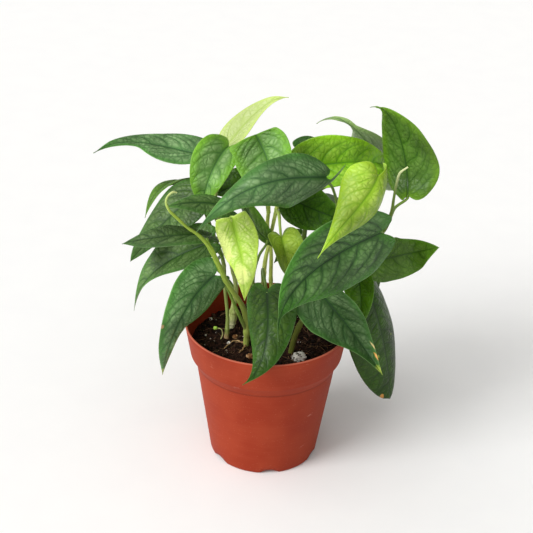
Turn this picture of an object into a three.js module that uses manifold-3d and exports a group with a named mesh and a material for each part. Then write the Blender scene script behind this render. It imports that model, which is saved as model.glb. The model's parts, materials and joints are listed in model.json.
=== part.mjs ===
// A young Monstera siltepecana in a terracotta-coloured plastic nursery pot.
// Millimetres, +Z up, the front towards -Y. The origin is the centre of the pot's foot, on the surface that
// it stands on. Every leaf is its own solid, a thin blade with its petiole. The petioles rise from vines,
// which stand in holes in the soil.
import * as THREE from "three";
import { mergeVertices } from "three/addons/utils/BufferGeometryUtils.js";
import Module from "manifold-3d";

const wasm = await Module();
wasm.setup();

// Pot: a standard 10.5 cm nursery pot
const RIM_RADIUS = 52.5;
const POT_HEIGHT = 94;
const WALL = 1.4;
const FOOT_RADIUS = 35.4;
const FOOT_WIDTH = 3.4;
const FOOT_BEVEL = 1.2;
const RIM_BEVEL = 0.3;
const SHOULDER = { z: 66.5, radius: 45.2 };
const SHOULDER_MIDDLE = { z: 69.8, radius: 46.8 };
const COLLAR_FOOT = { z: 73.2, radius: 49 };
const COLLAR_MIDDLE = { z: 82.5, radius: 50.6 };
const FLOOR_LIFT = 3;
const PAD_RADIUS = 9;
const NOTCHES = { count: 6, firstAngle: 37, radius: 9, height: 3 };
const DRAINS = { count: 6, firstAngle: 7, radius: 3.2, circle: 22 };
const POT_SIDES = 48;

// Soil
const SOIL_TOP = 80;
const SOIL_RELIEF = 1.5;
const SOIL_RINGS = 5;
const SOIL_SIDES = 25;
const FIT_GAP = 0.35;

// Foliage
const BLADE_THICKNESS = 0.8;
const BLADE_ROWS = [0, 0.08, 0.19, 0.32, 0.46, 0.6, 0.74, 0.87, 1];
const BLADE_COLUMNS = [-1, -0.6, 0, 0.6, 1];
const TIP_HALF_WIDTH = 0.45;
const PETIOLE_RADIUS = 0.85;
const PETIOLE_SIDES = 5;
const PETIOLE_STEPS = 5;
const PETIOLE_SUNK = 2.5;
const PETIOLE_LEAD = 1.5;
const STEM_SIDES = 6;
const STEM_DEPTH = 14;

// The camera of the reference photograph, worked out from the pot's rim, wall and foot
const VIEW = { focal: 1300, elevation: 28.1, roll: 1.82, distance: 815, x: -1.45, z: 134, centre: 266.5 };

// The point behind pixel (pixelX, pixelY) of that photograph which lies y millimetres behind the pot's axis
function seen([pixelX, pixelY, y]) {
  const e = THREE.MathUtils.degToRad(VIEW.elevation);
  const roll = THREE.MathUtils.degToRad(VIEW.roll);
  const du = pixelX - VIEW.centre;
  const dv = pixelY - VIEW.centre;
  const right = Math.cos(roll) * du + Math.sin(roll) * dv;
  const up = Math.sin(roll) * du - Math.cos(roll) * dv;
  const eye = new THREE.Vector3(VIEW.x, -VIEW.distance * Math.cos(e), VIEW.z + VIEW.distance * Math.sin(e));
  const ray = new THREE.Vector3(
    right,
    VIEW.focal * Math.cos(e) + up * Math.sin(e),
    -VIEW.focal * Math.sin(e) + up * Math.cos(e),
  );
  return eye.addScaledVector(ray, (y - eye.y) / ray.y);
}

// Vines, from the soil up. Each point is [pixel x, pixel y, depth y, radius of the stem].
const VINES = {
  left: [[231.5, 327, 15, 2], [232.5, 318, 15, 3], [234, 304, 14, 1.7], [236, 288, 12, 1.4],
    [231, 262, 10, 1.5], [222, 228, 8, 1.3], [214, 196, 12, 1.2]],
  side: [[226, 339, 2, 1.8], [227, 331, 3, 1.8], [227.5, 317, 4, 1.3], [225, 288, 4, 1.3],
    [223, 260, 1, 1.2], [212, 231, -2, 1.1]],
  runner: [[246, 345, -6, 1.9], [247, 326, -9, 2], [243, 308, -14, 1.7], [227, 283, -35, 1.4],
    [219.5, 267, -42, 1.7], [208, 245, -47, 1.3], [197, 234, -50, 1], [188, 228, -52, 0.8],
    [177, 218, -54, 0.9], [169, 210, -54, 0.8], [166, 202, -52, 0.7], [168, 196, -50, 0.6],
    [173, 192, -48, 0.6], [176.5, 192.6, -46, 0.5]],
  centre: [[268, 325, 18, 1.8], [263.5, 286, 14, 1.6], [265, 262, 11, 1.4], [269, 243, 10, 1.2],
    [274, 220, 9, 1.2], [278, 202, 8, 1.2], [284, 178, 8, 1.1]],
  middle: [[277, 321, 24, 1.6], [271, 285, 22, 1.3], [271, 252, 20, 1.2], [267.5, 225, 18, 1.2],
    [268.5, 205, 17, 1.2], [262, 172, 18, 1.1]],
  right: [[291, 352, -14, 1.8], [302, 321, -19, 1.7], [342, 270, -16, 1.6], [383, 231, -11, 1.5],
    [391, 214, -12, 1.1], [394, 197, -15, 0.8], [397, 182, -16, 0.8], [400, 173, -16, 0.7],
    [408, 167, -15, 0.5]],
  back: [[286, 313, 33, 1.9], [298, 270, 34, 1.7], [305, 230, 32, 1.5], [309, 190, 28, 1.3]],
};

// Roots that lie on the soil, from a vine outwards, each point [pixel x, pixel y, depth y]
const ROOT_RADIUS = 0.6;
const ROOTS = [
  { vine: "runner", path: [[246, 343, -6], [236, 341, -3], [229, 345, -8], [224, 350, -13]] },
  { vine: "runner", path: [[246, 344, -6], [243, 350, -13], [239, 354, -18]] },
];

// A seedling: its stem, then its curled head
const SEEDLING = {
  path: [[219, 342, -1], [222.5, 335, -1], [221, 329, -1], [215.5, 328, -1]],
  radius: 0.5,
  head: 1.5,
};

// Chips on the soil: perlite and bark, each [pixel x, pixel y, depth y] with its mean radius
const SMALL_CHIP = 2;
const CHIPS = [
  { name: "perlite_1", look: "perlite", at: [299, 355.2, -22], radius: 4.7 },
  { name: "perlite_2", look: "perlite", at: [229, 343, -5], radius: 1.4 },
  { name: "perlite_3", look: "perlite", at: [211, 320, 26], radius: 1.5 },
  { name: "perlite_4", look: "perlite", at: [318, 318, 26], radius: 2.2 },
  { name: "bark_1", look: "bark", at: [250, 358, -22], radius: 2.6 },
  { name: "bark_2", look: "bark", at: [235, 336, 4], radius: 1.9 },
  { name: "bark_3", look: "bark", at: [256, 308, 38], radius: 3 },
];

// Leaves. rib: the midrib from the petiole to the tip, each point [pixel x, pixel y, depth y].
// face: where the upper side looks. width: across the blade at its widest.
// full and taper: how the blade widens from its base and narrows to its tip.
// skew: how far its two halves differ.
// fold and arch: the rise and the fall of its cross-section. twist: degrees along the midrib.
// lobe: the reach of the basal lobes. ear: the half (-1 or 1) whose corner reaches further, how far back,
// and how far inwards.
// tail: the share of the midrib that is a narrow drip tip, and tip: the half width where it starts.
// vine, at: the vine that carries it, and how far up. via: points that the petiole passes.
const DARK = "leaf_dark";
const FRESH = "leaf_fresh";
const LIME = "leaf_lime";
const PALE = "leaf_pale";
const DEFAULTS = {
  full: 0.45, taper: 1.25, skew: 0, fold: 0.4, arch: 0.2, twist: 0, lobe: 8,
  ear: [1, 0, 0], tail: 0, tip: 0, via: [],
};
const LEAVES = [
  {
    name: "leaf_01", colour: DARK, vine: "left", at: 0.93, via: [[204, 176, 20]],
    rib: [[193.5, 153, 22], [159, 145.5, 32], [125, 142.5, 30], [93.5, 153, 1]],
    face: [0, -0.07, 1], width: 36, full: 0.53, taper: 1.64, fold: 0.34, arch: 0.26, twist: 25,
  },
  {
    name: "leaf_02", colour: FRESH, vine: "left", at: 0.99, via: [[222, 172, 15]],
    rib: [[229, 146, 15], [216.5, 162, 0], [206.5, 186.5, -8], [204, 205.5, -10]],
    face: [-0.18, -0.88, 0.45], width: 27, full: 0.54, taper: 1.07, skew: 0.08,
    fold: 0.52, arch: 0.14, lobe: 7,
  },
  {
    name: "leaf_03", colour: FRESH, vine: "middle", at: 0.99,
    rib: [[256, 134.5, 2], [264, 151, -3], [270, 177.5, -18], [253, 202, -46]],
    face: [-0.13, -0.82, 0.56], width: 34.3, full: 0.4, taper: 0.56, skew: 0.07,
    fold: 0.46, arch: 0.14, twist: 17, lobe: 0.7, ear: [1, -2.6, -6.7],
  },
  {
    name: "leaf_04", colour: DARK, vine: "right", at: 0.345,
    via: [[338, 226, -20], [337, 204, -25], [332, 187, -33]],
    rib: [[326.5, 177, -42], [294, 178, -52], [246, 191, -59], [196, 232.5, -58]],
    face: [0.06, -0.98, 0.18], width: 32, full: 0.65, taper: 1.36, skew: -0.23,
    fold: 0, arch: 0.73, twist: 15, lobe: 3.6, ear: [-1, 19, 16],
  },
  {
    name: "leaf_05", colour: LIME, vine: "right", at: 0.43, via: [[373, 212, -18], [370, 197, -34]],
    rib: [[378, 176, -46], [362.5, 202.5, -54], [340, 229, -62], [317.5, 258.5, -70]],
    face: [0.36, -0.88, 0.29], width: 31.6, full: 0.47, taper: 1.77, skew: -0.04,
    fold: 0.16, arch: 0.78, twist: 35, lobe: 5.8, ear: [-1, 6, 6],
  },
  {
    name: "leaf_06", colour: FRESH, vine: "centre", at: 0.97,
    rib: [[302.5, 165.5, 8], [330, 164, 5], [365, 162, 12], [393.5, 169.5, 34]],
    face: [0, -0.82, 0.57], width: 32, full: 0.49, taper: 0.96, fold: 0.59, arch: 0.06, twist: -16,
  },
  {
    name: "leaf_07", colour: FRESH, vine: "right", at: 0.53,
    rib: [[407.5, 195, -3], [405, 158, 7], [392.5, 120.5, 2], [370, 107.5, 7]],
    face: [-0.52, -0.85, -0.05], width: 36.8, full: 0.63, taper: 1.03, skew: 0.16,
    fold: 0.23, arch: 0.27, twist: -23, lobe: 5.5, ear: [-1, -3.2, 3.2], tail: 0.12, tip: 0.7,
  },
  {
    name: "leaf_08", colour: PALE, vine: "middle", at: 0.88, via: [[248, 166, 33]],
    rib: [[229.5, 142.5, 32], [244, 125, 38], [265, 105.5, 42], [288.5, 97.5, 30]],
    face: [-0.65, -0.38, 0.66], width: 24, full: 0.51, taper: 1.56, arch: 0.19,
  },
  {
    name: "leaf_09", colour: LIME, vine: "centre", at: 0.8, via: [[279, 215, -3], [280, 227, -9]],
    rib: [[281.5, 237, -12], [285.5, 255.5, -23], [290, 281, -12]],
    face: [0.4, -0.78, 0.49], width: 20, full: 0.56, taper: 1.22, skew: -0.09, fold: 0.6, arch: 0, lobe: 6,
  },
  {
    name: "leaf_10", colour: DARK, vine: "centre", at: 0.92,
    rib: [[285, 194, 18], [305, 205.5, 26], [328.5, 215, 22], [352.5, 223, 0]],
    face: [-0.08, -0.96, 0.27], width: 29, full: 0.5, taper: 0.93, fold: 0.46, arch: 0.14,
  },
  {
    name: "leaf_11", colour: DARK, vine: "back", at: 0.84,
    rib: [[397.5, 177, 46], [375, 152.5, 36], [348, 123.5, 32], [316.5, 123.5, 63]],
    face: [-0.47, -0.87, 0.15], width: 35.6, full: 0.47, taper: 1.22, skew: -0.35,
    fold: 0.03, arch: 0.61, twist: -60, tail: 0.32, tip: 2,
  },
  {
    name: "leaf_12", colour: DARK, vine: "right", at: 0.41,
    rib: [[380.5, 233, -32], [335.5, 255.5, -41], [293, 291.5, -57], [278.3, 342, -84]],
    face: [0.36, -0.93, -0.11], width: 55, full: 0.55, taper: 1.26, fold: 0.27, arch: 0.19,
    twist: 35, tail: 0.12, tip: 1.2,
  },
  {
    name: "leaf_13", colour: DARK, vine: "back", at: 0.99,
    rib: [[301, 154, 46], [322, 163, 52], [345, 180, 54]],
    face: [0, -0.6, 0.8], width: 26,
  },
  {
    name: "leaf_14", colour: LIME, vine: "left", at: 0.66, via: [[234, 240, -12], [232, 224, -38]],
    rib: [[231.5, 217.5, -43], [239, 245.5, -42], [243, 268, -52], [244.5, 300.5, -39]],
    face: [-0.22, -0.92, 0.33], width: 23.7, full: 0.41, taper: 0.95, skew: -0.06,
    fold: 0.42, arch: 0.48, twist: 31, lobe: 2.6, ear: [1, -0.5, -1.6],
  },
  {
    name: "leaf_15", colour: DARK, vine: "centre", at: 0.27,
    rib: [[267, 290.5, -42], [268, 320, -44], [263, 356.5, -55], [242.5, 385, -70]],
    face: [-0.16, -0.95, 0.29], width: 30, full: 0.65, taper: 1.46, skew: -0.08,
    fold: 0.14, arch: 0.49, twist: 17, lobe: 4.6,
  },
  {
    name: "leaf_16", colour: DARK, vine: "right", at: 0.24,
    rib: [[317.5, 289.5, -25], [336, 311.5, -26], [358, 339.5, -28], [382.5, 375, -48]],
    face: [-0.11, -0.94, 0.31], width: 32, full: 0.34, taper: 1.07, skew: 0.05,
    fold: 0.77, arch: -0.07, twist: -36, lobe: 9,
  },
  {
    name: "leaf_17", colour: FRESH, vine: "right", at: 0.38,
    rib: [[372, 262, -4], [395, 256.5, 1], [418.5, 251.5, -3], [439, 247.5, -33]],
    face: [0.19, -0.98, -0.04], width: 31, full: 0.48, taper: 1.09,
    fold: 0.41, arch: 0.19, twist: -35, lobe: 7,
  },
  {
    name: "leaf_18", colour: DARK, vine: "back", at: 0.62,
    rib: [[363.5, 272.5, 27], [375, 310, 24], [384.5, 347.5, 25], [390, 398.5, 33]],
    face: [0.68, -0.69, 0.24], width: 41.3, full: 0.64, taper: 0.53, skew: 0.09,
    fold: 0.04, arch: 0.5, twist: 10, lobe: 6.3,
  },
  {
    name: "leaf_19", colour: FRESH, vine: "right", at: 0.275,
    rib: [[352, 259, -3], [360.5, 292, -5], [358.5, 335.5, -10]],
    face: [-0.46, -0.88, 0.11], width: 23, full: 0.5, taper: 1.18, fold: 0.49, twist: -24,
  },
  {
    name: "leaf_20", colour: DARK, vine: "runner", at: 0.12,
    via: [[240, 317, -15], [232, 299, -22], [224, 283, -29]],
    rib: [[214.5, 276, -35], [191, 301.5, -48], [172, 338.5, -61], [162.5, 374.5, -46]],
    face: [0.59, -0.81, 0.01], width: 33, full: 0.49, taper: 1.25, skew: -0.13,
    fold: 0.09, arch: 0.47, twist: -38, lobe: 6.5, ear: [1, 0.5, -1.9],
  },
  {
    name: "leaf_21", colour: DARK, vine: "side", at: 0.8,
    rib: [[208, 243, -7], [176, 257, -8], [148, 278.5, -10], [134, 311, -16]],
    face: [-0.06, -0.44, 0.89], width: 29, full: 0.51, taper: 1.49, fold: 0.53, arch: 0.11, twist: 34,
  },
  {
    name: "leaf_22", colour: DARK, vine: "runner", at: 0.41,
    rib: [[210, 236, -22], [168, 236, -40], [122, 244, -32]],
    face: [0, 0.1, 0.99], width: 29, full: 0.58, taper: 1.21, fold: 0.32, arch: 0.28, twist: -45,
  },
  {
    name: "leaf_23", colour: DARK, vine: "side", at: 0.98, via: [[206, 214, 14]],
    rib: [[200, 196, 9], [177.5, 209.5, 7], [153, 235, -2], [130.5, 261.5, -26]],
    face: [-0.04, -0.31, 0.95], width: 32, full: 0.5, taper: 1, fold: 0.3, arch: 0.28, twist: 29,
  },
  {
    name: "leaf_24", colour: FRESH, vine: "left", at: 0.83,
    rib: [[204, 186, 28], [178.5, 182.5, 31], [158, 191.5, 25], [145, 218, 20]],
    face: [-0.87, -0.05, 0.49], width: 23, full: 0.55, taper: 1.32, fold: 0.37, arch: 0.23, twist: -45,
  },
  {
    name: "leaf_25", colour: DARK, vine: "left", at: 0.8,
    rib: [[226, 207, -22], [196, 202.5, -29], [164.5, 208, -37]],
    face: [0, -0.41, 0.91], width: 18, full: 0.45, taper: 1.23, fold: 0.2, arch: 0.36,
  },
  {
    name: "leaf_26", colour: DARK, vine: "middle", at: 0.78,
    rib: [[245, 187, 30], [230, 188, 30], [214, 196, 31]],
    face: [0, -0.7, 0.7], width: 24,
  },
  {
    name: "leaf_27", colour: DARK, vine: "centre", at: 0.2, via: [[253, 284, -2], [259, 256, -4]],
    rib: [[266, 238.5, 0], [253, 222, 1], [242.5, 202, 3], [226.5, 189.5, 4]],
    face: [-0.5, -0.76, -0.42], width: 18, full: 0.47, fold: 0.23, arch: 0.44, lobe: 9,
  },
  {
    name: "leaf_28", colour: DARK, vine: "back", at: 0.7,
    rib: [[298, 240, 44], [287, 249, 48], [274, 263, 52]],
    face: [0, -0.7, 0.7], width: 18,
  },
  {
    name: "leaf_29", colour: DARK, vine: "back", at: 0.9,
    rib: [[312, 196, 54], [325, 212, 78], [338, 240, 92]],
    face: [0.2, 0.6, 0.8], width: 34,
  },
  {
    name: "leaf_30", colour: DARK, vine: "left", at: 0.76,
    rib: [[206, 200, 36], [186, 214, 58], [172, 246, 70]],
    face: [-0.4, 0.4, 0.8], width: 32,
  },
  {
    name: "leaf_31", colour: FRESH, vine: "left", at: 0.45,
    rib: [[212, 262, 34], [195, 282, 54], [186, 318, 66]],
    face: [-0.5, 0.6, 0.6], width: 32,
  },
  {
    name: "leaf_32", colour: DARK, vine: "back", at: 0.55,
    rib: [[345, 246, 44], [364, 268, 56], [374, 310, 60]],
    face: [0.5, 0.6, 0.5], width: 34,
  },
  {
    name: "leaf_33", colour: DARK, vine: "back", at: 0.4,
    rib: [[302, 262, 58], [306, 278, 80], [310, 312, 88]],
    face: [0, 0.8, 0.5], width: 33,
  },
  {
    name: "leaf_34", colour: FRESH, vine: "back", at: 0.945,
    rib: [[246, 178, 50], [238, 172, 68], [226, 186, 88]],
    face: [-0.1, 0.4, 0.9], width: 32,
  },
];

// The smooth curve through three or four points, at t from 0 to 1
function through(points, t) {
  const last = points.length - 1;
  const place = new THREE.Vector3();
  points.forEach((point, i) => {
    let weight = 1;
    for (let j = 0; j <= last; j += 1) {
      if (j !== i) weight *= (t * last - j) / (i - j);
    }
    place.addScaledVector(point, weight);
  });
  return place;
}
function directionOf(curve, t) {
  const step = 0.01;
  const from = curve(Math.max(0, t - step));
  return curve(Math.min(1, t + step)).sub(from).normalize();
}

// Solids from three.js geometry, and back
function solidOf(geometry) {
  const bare = new THREE.BufferGeometry().setAttribute("position", geometry.getAttribute("position"));
  bare.setIndex(geometry.index);
  const merged = mergeVertices(bare, 1e-4);
  return new wasm.Manifold(new wasm.Mesh({
    numProp: 3,
    vertProperties: new Float32Array(merged.attributes.position.array),
    triVerts: new Uint32Array(merged.index.array),
  }));
}
function geometryOf(solid) {
  const mesh = solid.getMesh();
  return new THREE.BufferGeometry()
    .setAttribute("position", new THREE.BufferAttribute(new Float32Array(mesh.vertProperties), 3))
    .setIndex(new THREE.BufferAttribute(new Uint32Array(mesh.triVerts), 1));
}
function largest(solid) {
  return solid.decompose().sort((a, b) => b.volume() - a.volume())[0];
}

// A round rod: a cylinder bent along a curve, with its own radius at every point
function rod(curve, radiusAt, steps, sides) {
  const geometry = new THREE.CylinderGeometry(1, 1, 1, sides, steps);
  const position = geometry.getAttribute("position");
  const frames = [];
  let side = new THREE.Vector3(1, 0, 0);
  for (let i = 0; i <= steps; i += 1) {
    const t = i / steps;
    const tangent = directionOf(curve, t);
    side = side.clone().addScaledVector(tangent, -side.dot(tangent)).normalize();
    const other = new THREE.Vector3().crossVectors(side, tangent);
    frames.push({ centre: curve(t), radius: radiusAt(t), side, other });
  }
  const point = new THREE.Vector3();
  for (let i = 0; i < position.count; i += 1) {
    point.fromBufferAttribute(position, i);
    const { centre, radius, side: across, other } = frames[Math.round((point.y + 0.5) * steps)];
    const bent = centre.clone()
      .addScaledVector(across, point.x * radius)
      .addScaledVector(other, point.z * radius);
    position.setXYZ(i, bent.x, bent.y, bent.z);
  }
  return solidOf(geometry);
}

// Blade: the share of its half width at u, 0 at the petiole and 1 at the tip
const BASE_SHIFT = 0.06;
function outline(u, { full, taper }) {
  const shape = (x) => (x + BASE_SHIFT) ** full * (1 - x) ** taper;
  return shape(u) / shape((full - taper * BASE_SHIFT) / (full + taper));
}

// Half the blade's width on the side of v. A drip tip narrows evenly from the half width leaf.tip.
function halfWidth(leaf, u, v) {
  const body = (leaf.width / 2) * outline(Math.min(1, u / (1 - leaf.tail)), leaf);
  const tail = leaf.tail > 0 ? leaf.tip * Math.min(1, (1 - u) / leaf.tail) : 0;
  return Math.max(TIP_HALF_WIDTH, tail, body * (1 + Math.sign(v) * leaf.skew));
}

// A point of the blade's middle surface. v runs across the blade from -1 to 1.
const LOBE_LENGTH = 0.32;
const LOBE_TURN = 0.8 * Math.PI;
const TWIST_CENTRE = 0.3;
function bladePoint(leaf, u, v) {
  const rib = (t) => through(leaf.points, t);
  const tangent = directionOf(rib, u);
  const side = new THREE.Vector3().crossVectors(directionOf(rib, 0.5), new THREE.Vector3(...leaf.face));
  side.addScaledVector(tangent, -side.dot(tangent)).normalize();
  side.applyAxisAngle(tangent, THREE.MathUtils.degToRad(leaf.twist * (u - TWIST_CENTRE)));
  const normal = new THREE.Vector3().crossVectors(side, tangent);
  const across = Math.abs(v);
  const half = halfWidth(leaf, u, v);
  const nearBase = Math.max(0, 1 - u / LOBE_LENGTH) ** 2;
  const [earSide, earBack, earInwards] = leaf.ear;
  const ear = Math.max(0, v * earSide) ** 2;
  const lobe = leaf.lobe * Math.sin(LOBE_TURN * across) + earBack * ear;
  return rib(u)
    .addScaledVector(side, half * v - earSide * earInwards * ear * nearBase)
    .addScaledVector(normal, half * (leaf.fold * across - leaf.arch * across ** 2))
    .addScaledVector(tangent, -lobe * nearBase);
}

// The blade as a solid: both faces have the same triangles, and a wall joins them round the edge
function blade(leaf) {
  const rows = BLADE_ROWS.length;
  const columns = BLADE_COLUMNS.length;
  const middle = BLADE_ROWS.map((u) => BLADE_COLUMNS.map((v) => bladePoint(leaf, u, v)));
  const points = [];
  for (const way of [1, -1]) {
    middle.forEach((row, i) => row.forEach((point, j) => {
      const along = middle[Math.min(i + 1, rows - 1)][j].clone().sub(middle[Math.max(i - 1, 0)][j]);
      const over = row[Math.min(j + 1, columns - 1)].clone().sub(row[Math.max(j - 1, 0)]);
      const normal = over.cross(along).normalize();
      points.push(point.clone().addScaledVector(normal, (way * BLADE_THICKNESS) / 2));
    }));
  }
  const top = (i, j) => i * columns + j;
  const bottom = (i, j) => rows * columns + top(i, j);
  const index = [];
  const quad = (a, b, c, d) => index.push(a, b, c, a, c, d);
  for (let i = 0; i + 1 < rows; i += 1) {
    for (let j = 0; j + 1 < columns; j += 1) {
      quad(top(i, j), top(i, j + 1), top(i + 1, j + 1), top(i + 1, j));
      index.push(bottom(i, j), bottom(i + 1, j + 1), bottom(i, j + 1));
      index.push(bottom(i, j), bottom(i + 1, j), bottom(i + 1, j + 1));
    }
    quad(bottom(i, 0), top(i, 0), top(i + 1, 0), bottom(i + 1, 0));
    quad(top(i, columns - 1), bottom(i, columns - 1), bottom(i + 1, columns - 1), top(i + 1, columns - 1));
  }
  for (let j = 0; j + 1 < columns; j += 1) {
    quad(top(0, j), bottom(0, j), bottom(0, j + 1), top(0, j + 1));
    quad(bottom(rows - 1, j), top(rows - 1, j), top(rows - 1, j + 1), bottom(rows - 1, j + 1));
  }
  return solidOf(new THREE.BufferGeometry().setFromPoints(points).setIndex(index));
}

// Vines: the first stretch is buried in the soil
function vine(path, extra = 0) {
  const above = path.map(seen);
  const buried = above[0].clone().add(new THREE.Vector3(0, 0, -STEM_DEPTH));
  const curve = new THREE.CatmullRomCurve3([buried, ...above]);
  const radii = [path[0][3], ...path.map((point) => point[3])];
  const last = radii.length - 1;
  const radiusAt = (t) => {
    const i = Math.min(last - 1, Math.floor(t * last));
    return THREE.MathUtils.lerp(radii[i], radii[i + 1], t * last - i) + extra;
  };
  const at = (t) => curve.getPoint(t);
  return { at, solid: rod(at, radiusAt, last * 2, STEM_SIDES) };
}

// Things on the soil
function onSoil(point, lift) {
  const place = seen(point);
  return place.setZ(soilLevel(place.x, place.y) + lift);
}
const ROOT_ENDS = { foot: 1.1, tip: 0.6 };
const ROOT_STEPS = 5;
const ROOT_SIDES = 4;
function root({ path }, extra = 0) {
  const curve = new THREE.CatmullRomCurve3(path.map((point) => onSoil(point, ROOT_RADIUS / 2)));
  const radiusAt = (t) => ROOT_RADIUS * THREE.MathUtils.lerp(ROOT_ENDS.foot, ROOT_ENDS.tip, t) + extra;
  return rod((t) => curve.getPoint(t), radiusAt, ROOT_STEPS, ROOT_SIDES);
}
const CHIP_LUMPS = 0.12;
const CHIP_SHAPE = new THREE.Vector3(1, 0.9, 0.78);
const CHIP_LIFT = 0.25;
function chip({ at, radius }, extra = 0) {
  const size = radius + extra;
  const geometry = new THREE.IcosahedronGeometry(1, radius > SMALL_CHIP ? 1 : 0);
  const position = geometry.getAttribute("position");
  const point = new THREE.Vector3();
  for (let i = 0; i < position.count; i += 1) {
    point.fromBufferAttribute(position, i);
    const wave = Math.sin(4 * point.x + 3 * point.y + 7 * radius) * Math.cos(3 * point.z + 2 * point.x);
    const lump = 1 + CHIP_LUMPS * wave;
    point.multiplyScalar(lump * size).multiply(CHIP_SHAPE);
    position.setXYZ(i, point.x, point.y, point.z);
  }
  const centre = onSoil(at, radius * CHIP_LIFT);
  return solidOf(geometry.translate(centre.x, centre.y, centre.z));
}
const SEEDLING_STEPS = 7;
const SEEDLING_SIDES = 4;
function seedling(extra = 0) {
  const { path, radius, head } = SEEDLING;
  const points = path.map(seen);
  const buried = points[0].clone().setZ(SOIL_TOP - STEM_DEPTH / 3);
  const curve = new THREE.CatmullRomCurve3([buried, ...points]);
  const tip = curve.getPoint(1);
  const ball = new THREE.IcosahedronGeometry(head + extra).translate(tip.x, tip.y, tip.z);
  return rod((t) => curve.getPoint(t), () => radius + extra, SEEDLING_STEPS, SEEDLING_SIDES)
    .add(solidOf(ball));
}

// A petiole leaves its vine upwards and runs into the midrib, thinner towards the blade
const PETIOLE_RISE = 0.3;
const PETIOLE_LEAN = 0.15;
const PETIOLE_FOOT = 1.25;
const PETIOLE_TAPER = 0.3;
function petiole(leaf, stem) {
  const start = stem.at(leaf.at);
  const rise = directionOf(stem.at, leaf.at);
  const end = through(leaf.points, 0);
  const inward = directionOf((t) => through(leaf.points, t), 0);
  const reach = start.distanceTo(end);
  const handles = leaf.via.length > 0
    ? leaf.via.map(seen)
    : [start.clone().addScaledVector(rise, reach * PETIOLE_RISE).lerp(end, PETIOLE_LEAN)];
  const curve = new THREE.CatmullRomCurve3([
    start,
    ...handles,
    end.clone().addScaledVector(inward, -PETIOLE_LEAD).add(new THREE.Vector3(0, 0, -PETIOLE_LEAD)),
    end.clone().addScaledVector(inward, PETIOLE_SUNK),
  ]);
  const thickness = (t) => PETIOLE_RADIUS * (PETIOLE_FOOT - PETIOLE_TAPER * t);
  return rod((t) => curve.getPoint(t), thickness, PETIOLE_STEPS, PETIOLE_SIDES);
}

// Pot
function lathe(profile, sides) {
  const points = profile.map(([r, z]) => new THREE.Vector2(r, z));
  return new THREE.LatheGeometry(points, sides).rotateX(Math.PI / 2);
}
const WALL_OUTSIDE = [
  [FOOT_RADIUS, FOOT_BEVEL],
  [SHOULDER.radius, SHOULDER.z],
  [SHOULDER_MIDDLE.radius, SHOULDER_MIDDLE.z],
  [COLLAR_FOOT.radius, COLLAR_FOOT.z],
  [COLLAR_MIDDLE.radius, COLLAR_MIDDLE.z],
  [RIM_RADIUS, POT_HEIGHT - WALL / 2],
];
const FLOOR_TOP = FLOOR_LIFT + WALL;
function wallRadius(z) {
  const i = Math.max(1, WALL_OUTSIDE.findIndex(([, height]) => height >= z));
  const [lowRadius, low] = WALL_OUTSIDE[i - 1];
  const [highRadius, high] = WALL_OUTSIDE[i];
  return lowRadius + ((highRadius - lowRadius) * (z - low)) / (high - low);
}
const CUTTER_SIDES = 16;
const CUTTER_REACH = 3;
function cutter(radius, depth) {
  return new THREE.CylinderGeometry(radius, radius, depth * CUTTER_REACH, CUTTER_SIDES);
}
function pot() {
  const inside = WALL_OUTSIDE.slice(1).reverse().map(([r, z]) => [r - WALL, z]);
  const body = solidOf(lathe([
    [0, 0],
    [PAD_RADIUS, 0],
    [PAD_RADIUS, FLOOR_LIFT],
    [FOOT_RADIUS - FOOT_WIDTH, FLOOR_LIFT],
    [FOOT_RADIUS - FOOT_WIDTH, 0],
    [FOOT_RADIUS - FOOT_BEVEL, 0],
    ...WALL_OUTSIDE,
    [RIM_RADIUS - WALL * RIM_BEVEL, POT_HEIGHT],
    [RIM_RADIUS - WALL * (1 - RIM_BEVEL), POT_HEIGHT],
    ...inside,
    [wallRadius(FLOOR_TOP) - WALL, FLOOR_TOP],
    [0, FLOOR_TOP],
  ], POT_SIDES));
  let solid = body;
  for (let i = 0; i < NOTCHES.count; i += 1) {
    const notch = cutter(NOTCHES.radius, FOOT_WIDTH)
      .translate(0, FOOT_RADIUS, 0)
      .translate(0, 0, NOTCHES.height - NOTCHES.radius)
      .rotateZ(THREE.MathUtils.degToRad(NOTCHES.firstAngle - 90 + (i * 360) / NOTCHES.count));
    solid = solid.subtract(solidOf(notch));
  }
  for (let i = 0; i < DRAINS.count; i += 1) {
    const drain = cutter(DRAINS.radius, FLOOR_TOP)
      .rotateX(Math.PI / 2)
      .translate(DRAINS.circle, 0, 0)
      .rotateZ(THREE.MathUtils.degToRad(DRAINS.firstAngle + (i * 360) / DRAINS.count));
    solid = solid.subtract(solidOf(drain));
  }
  return solid;
}

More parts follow.
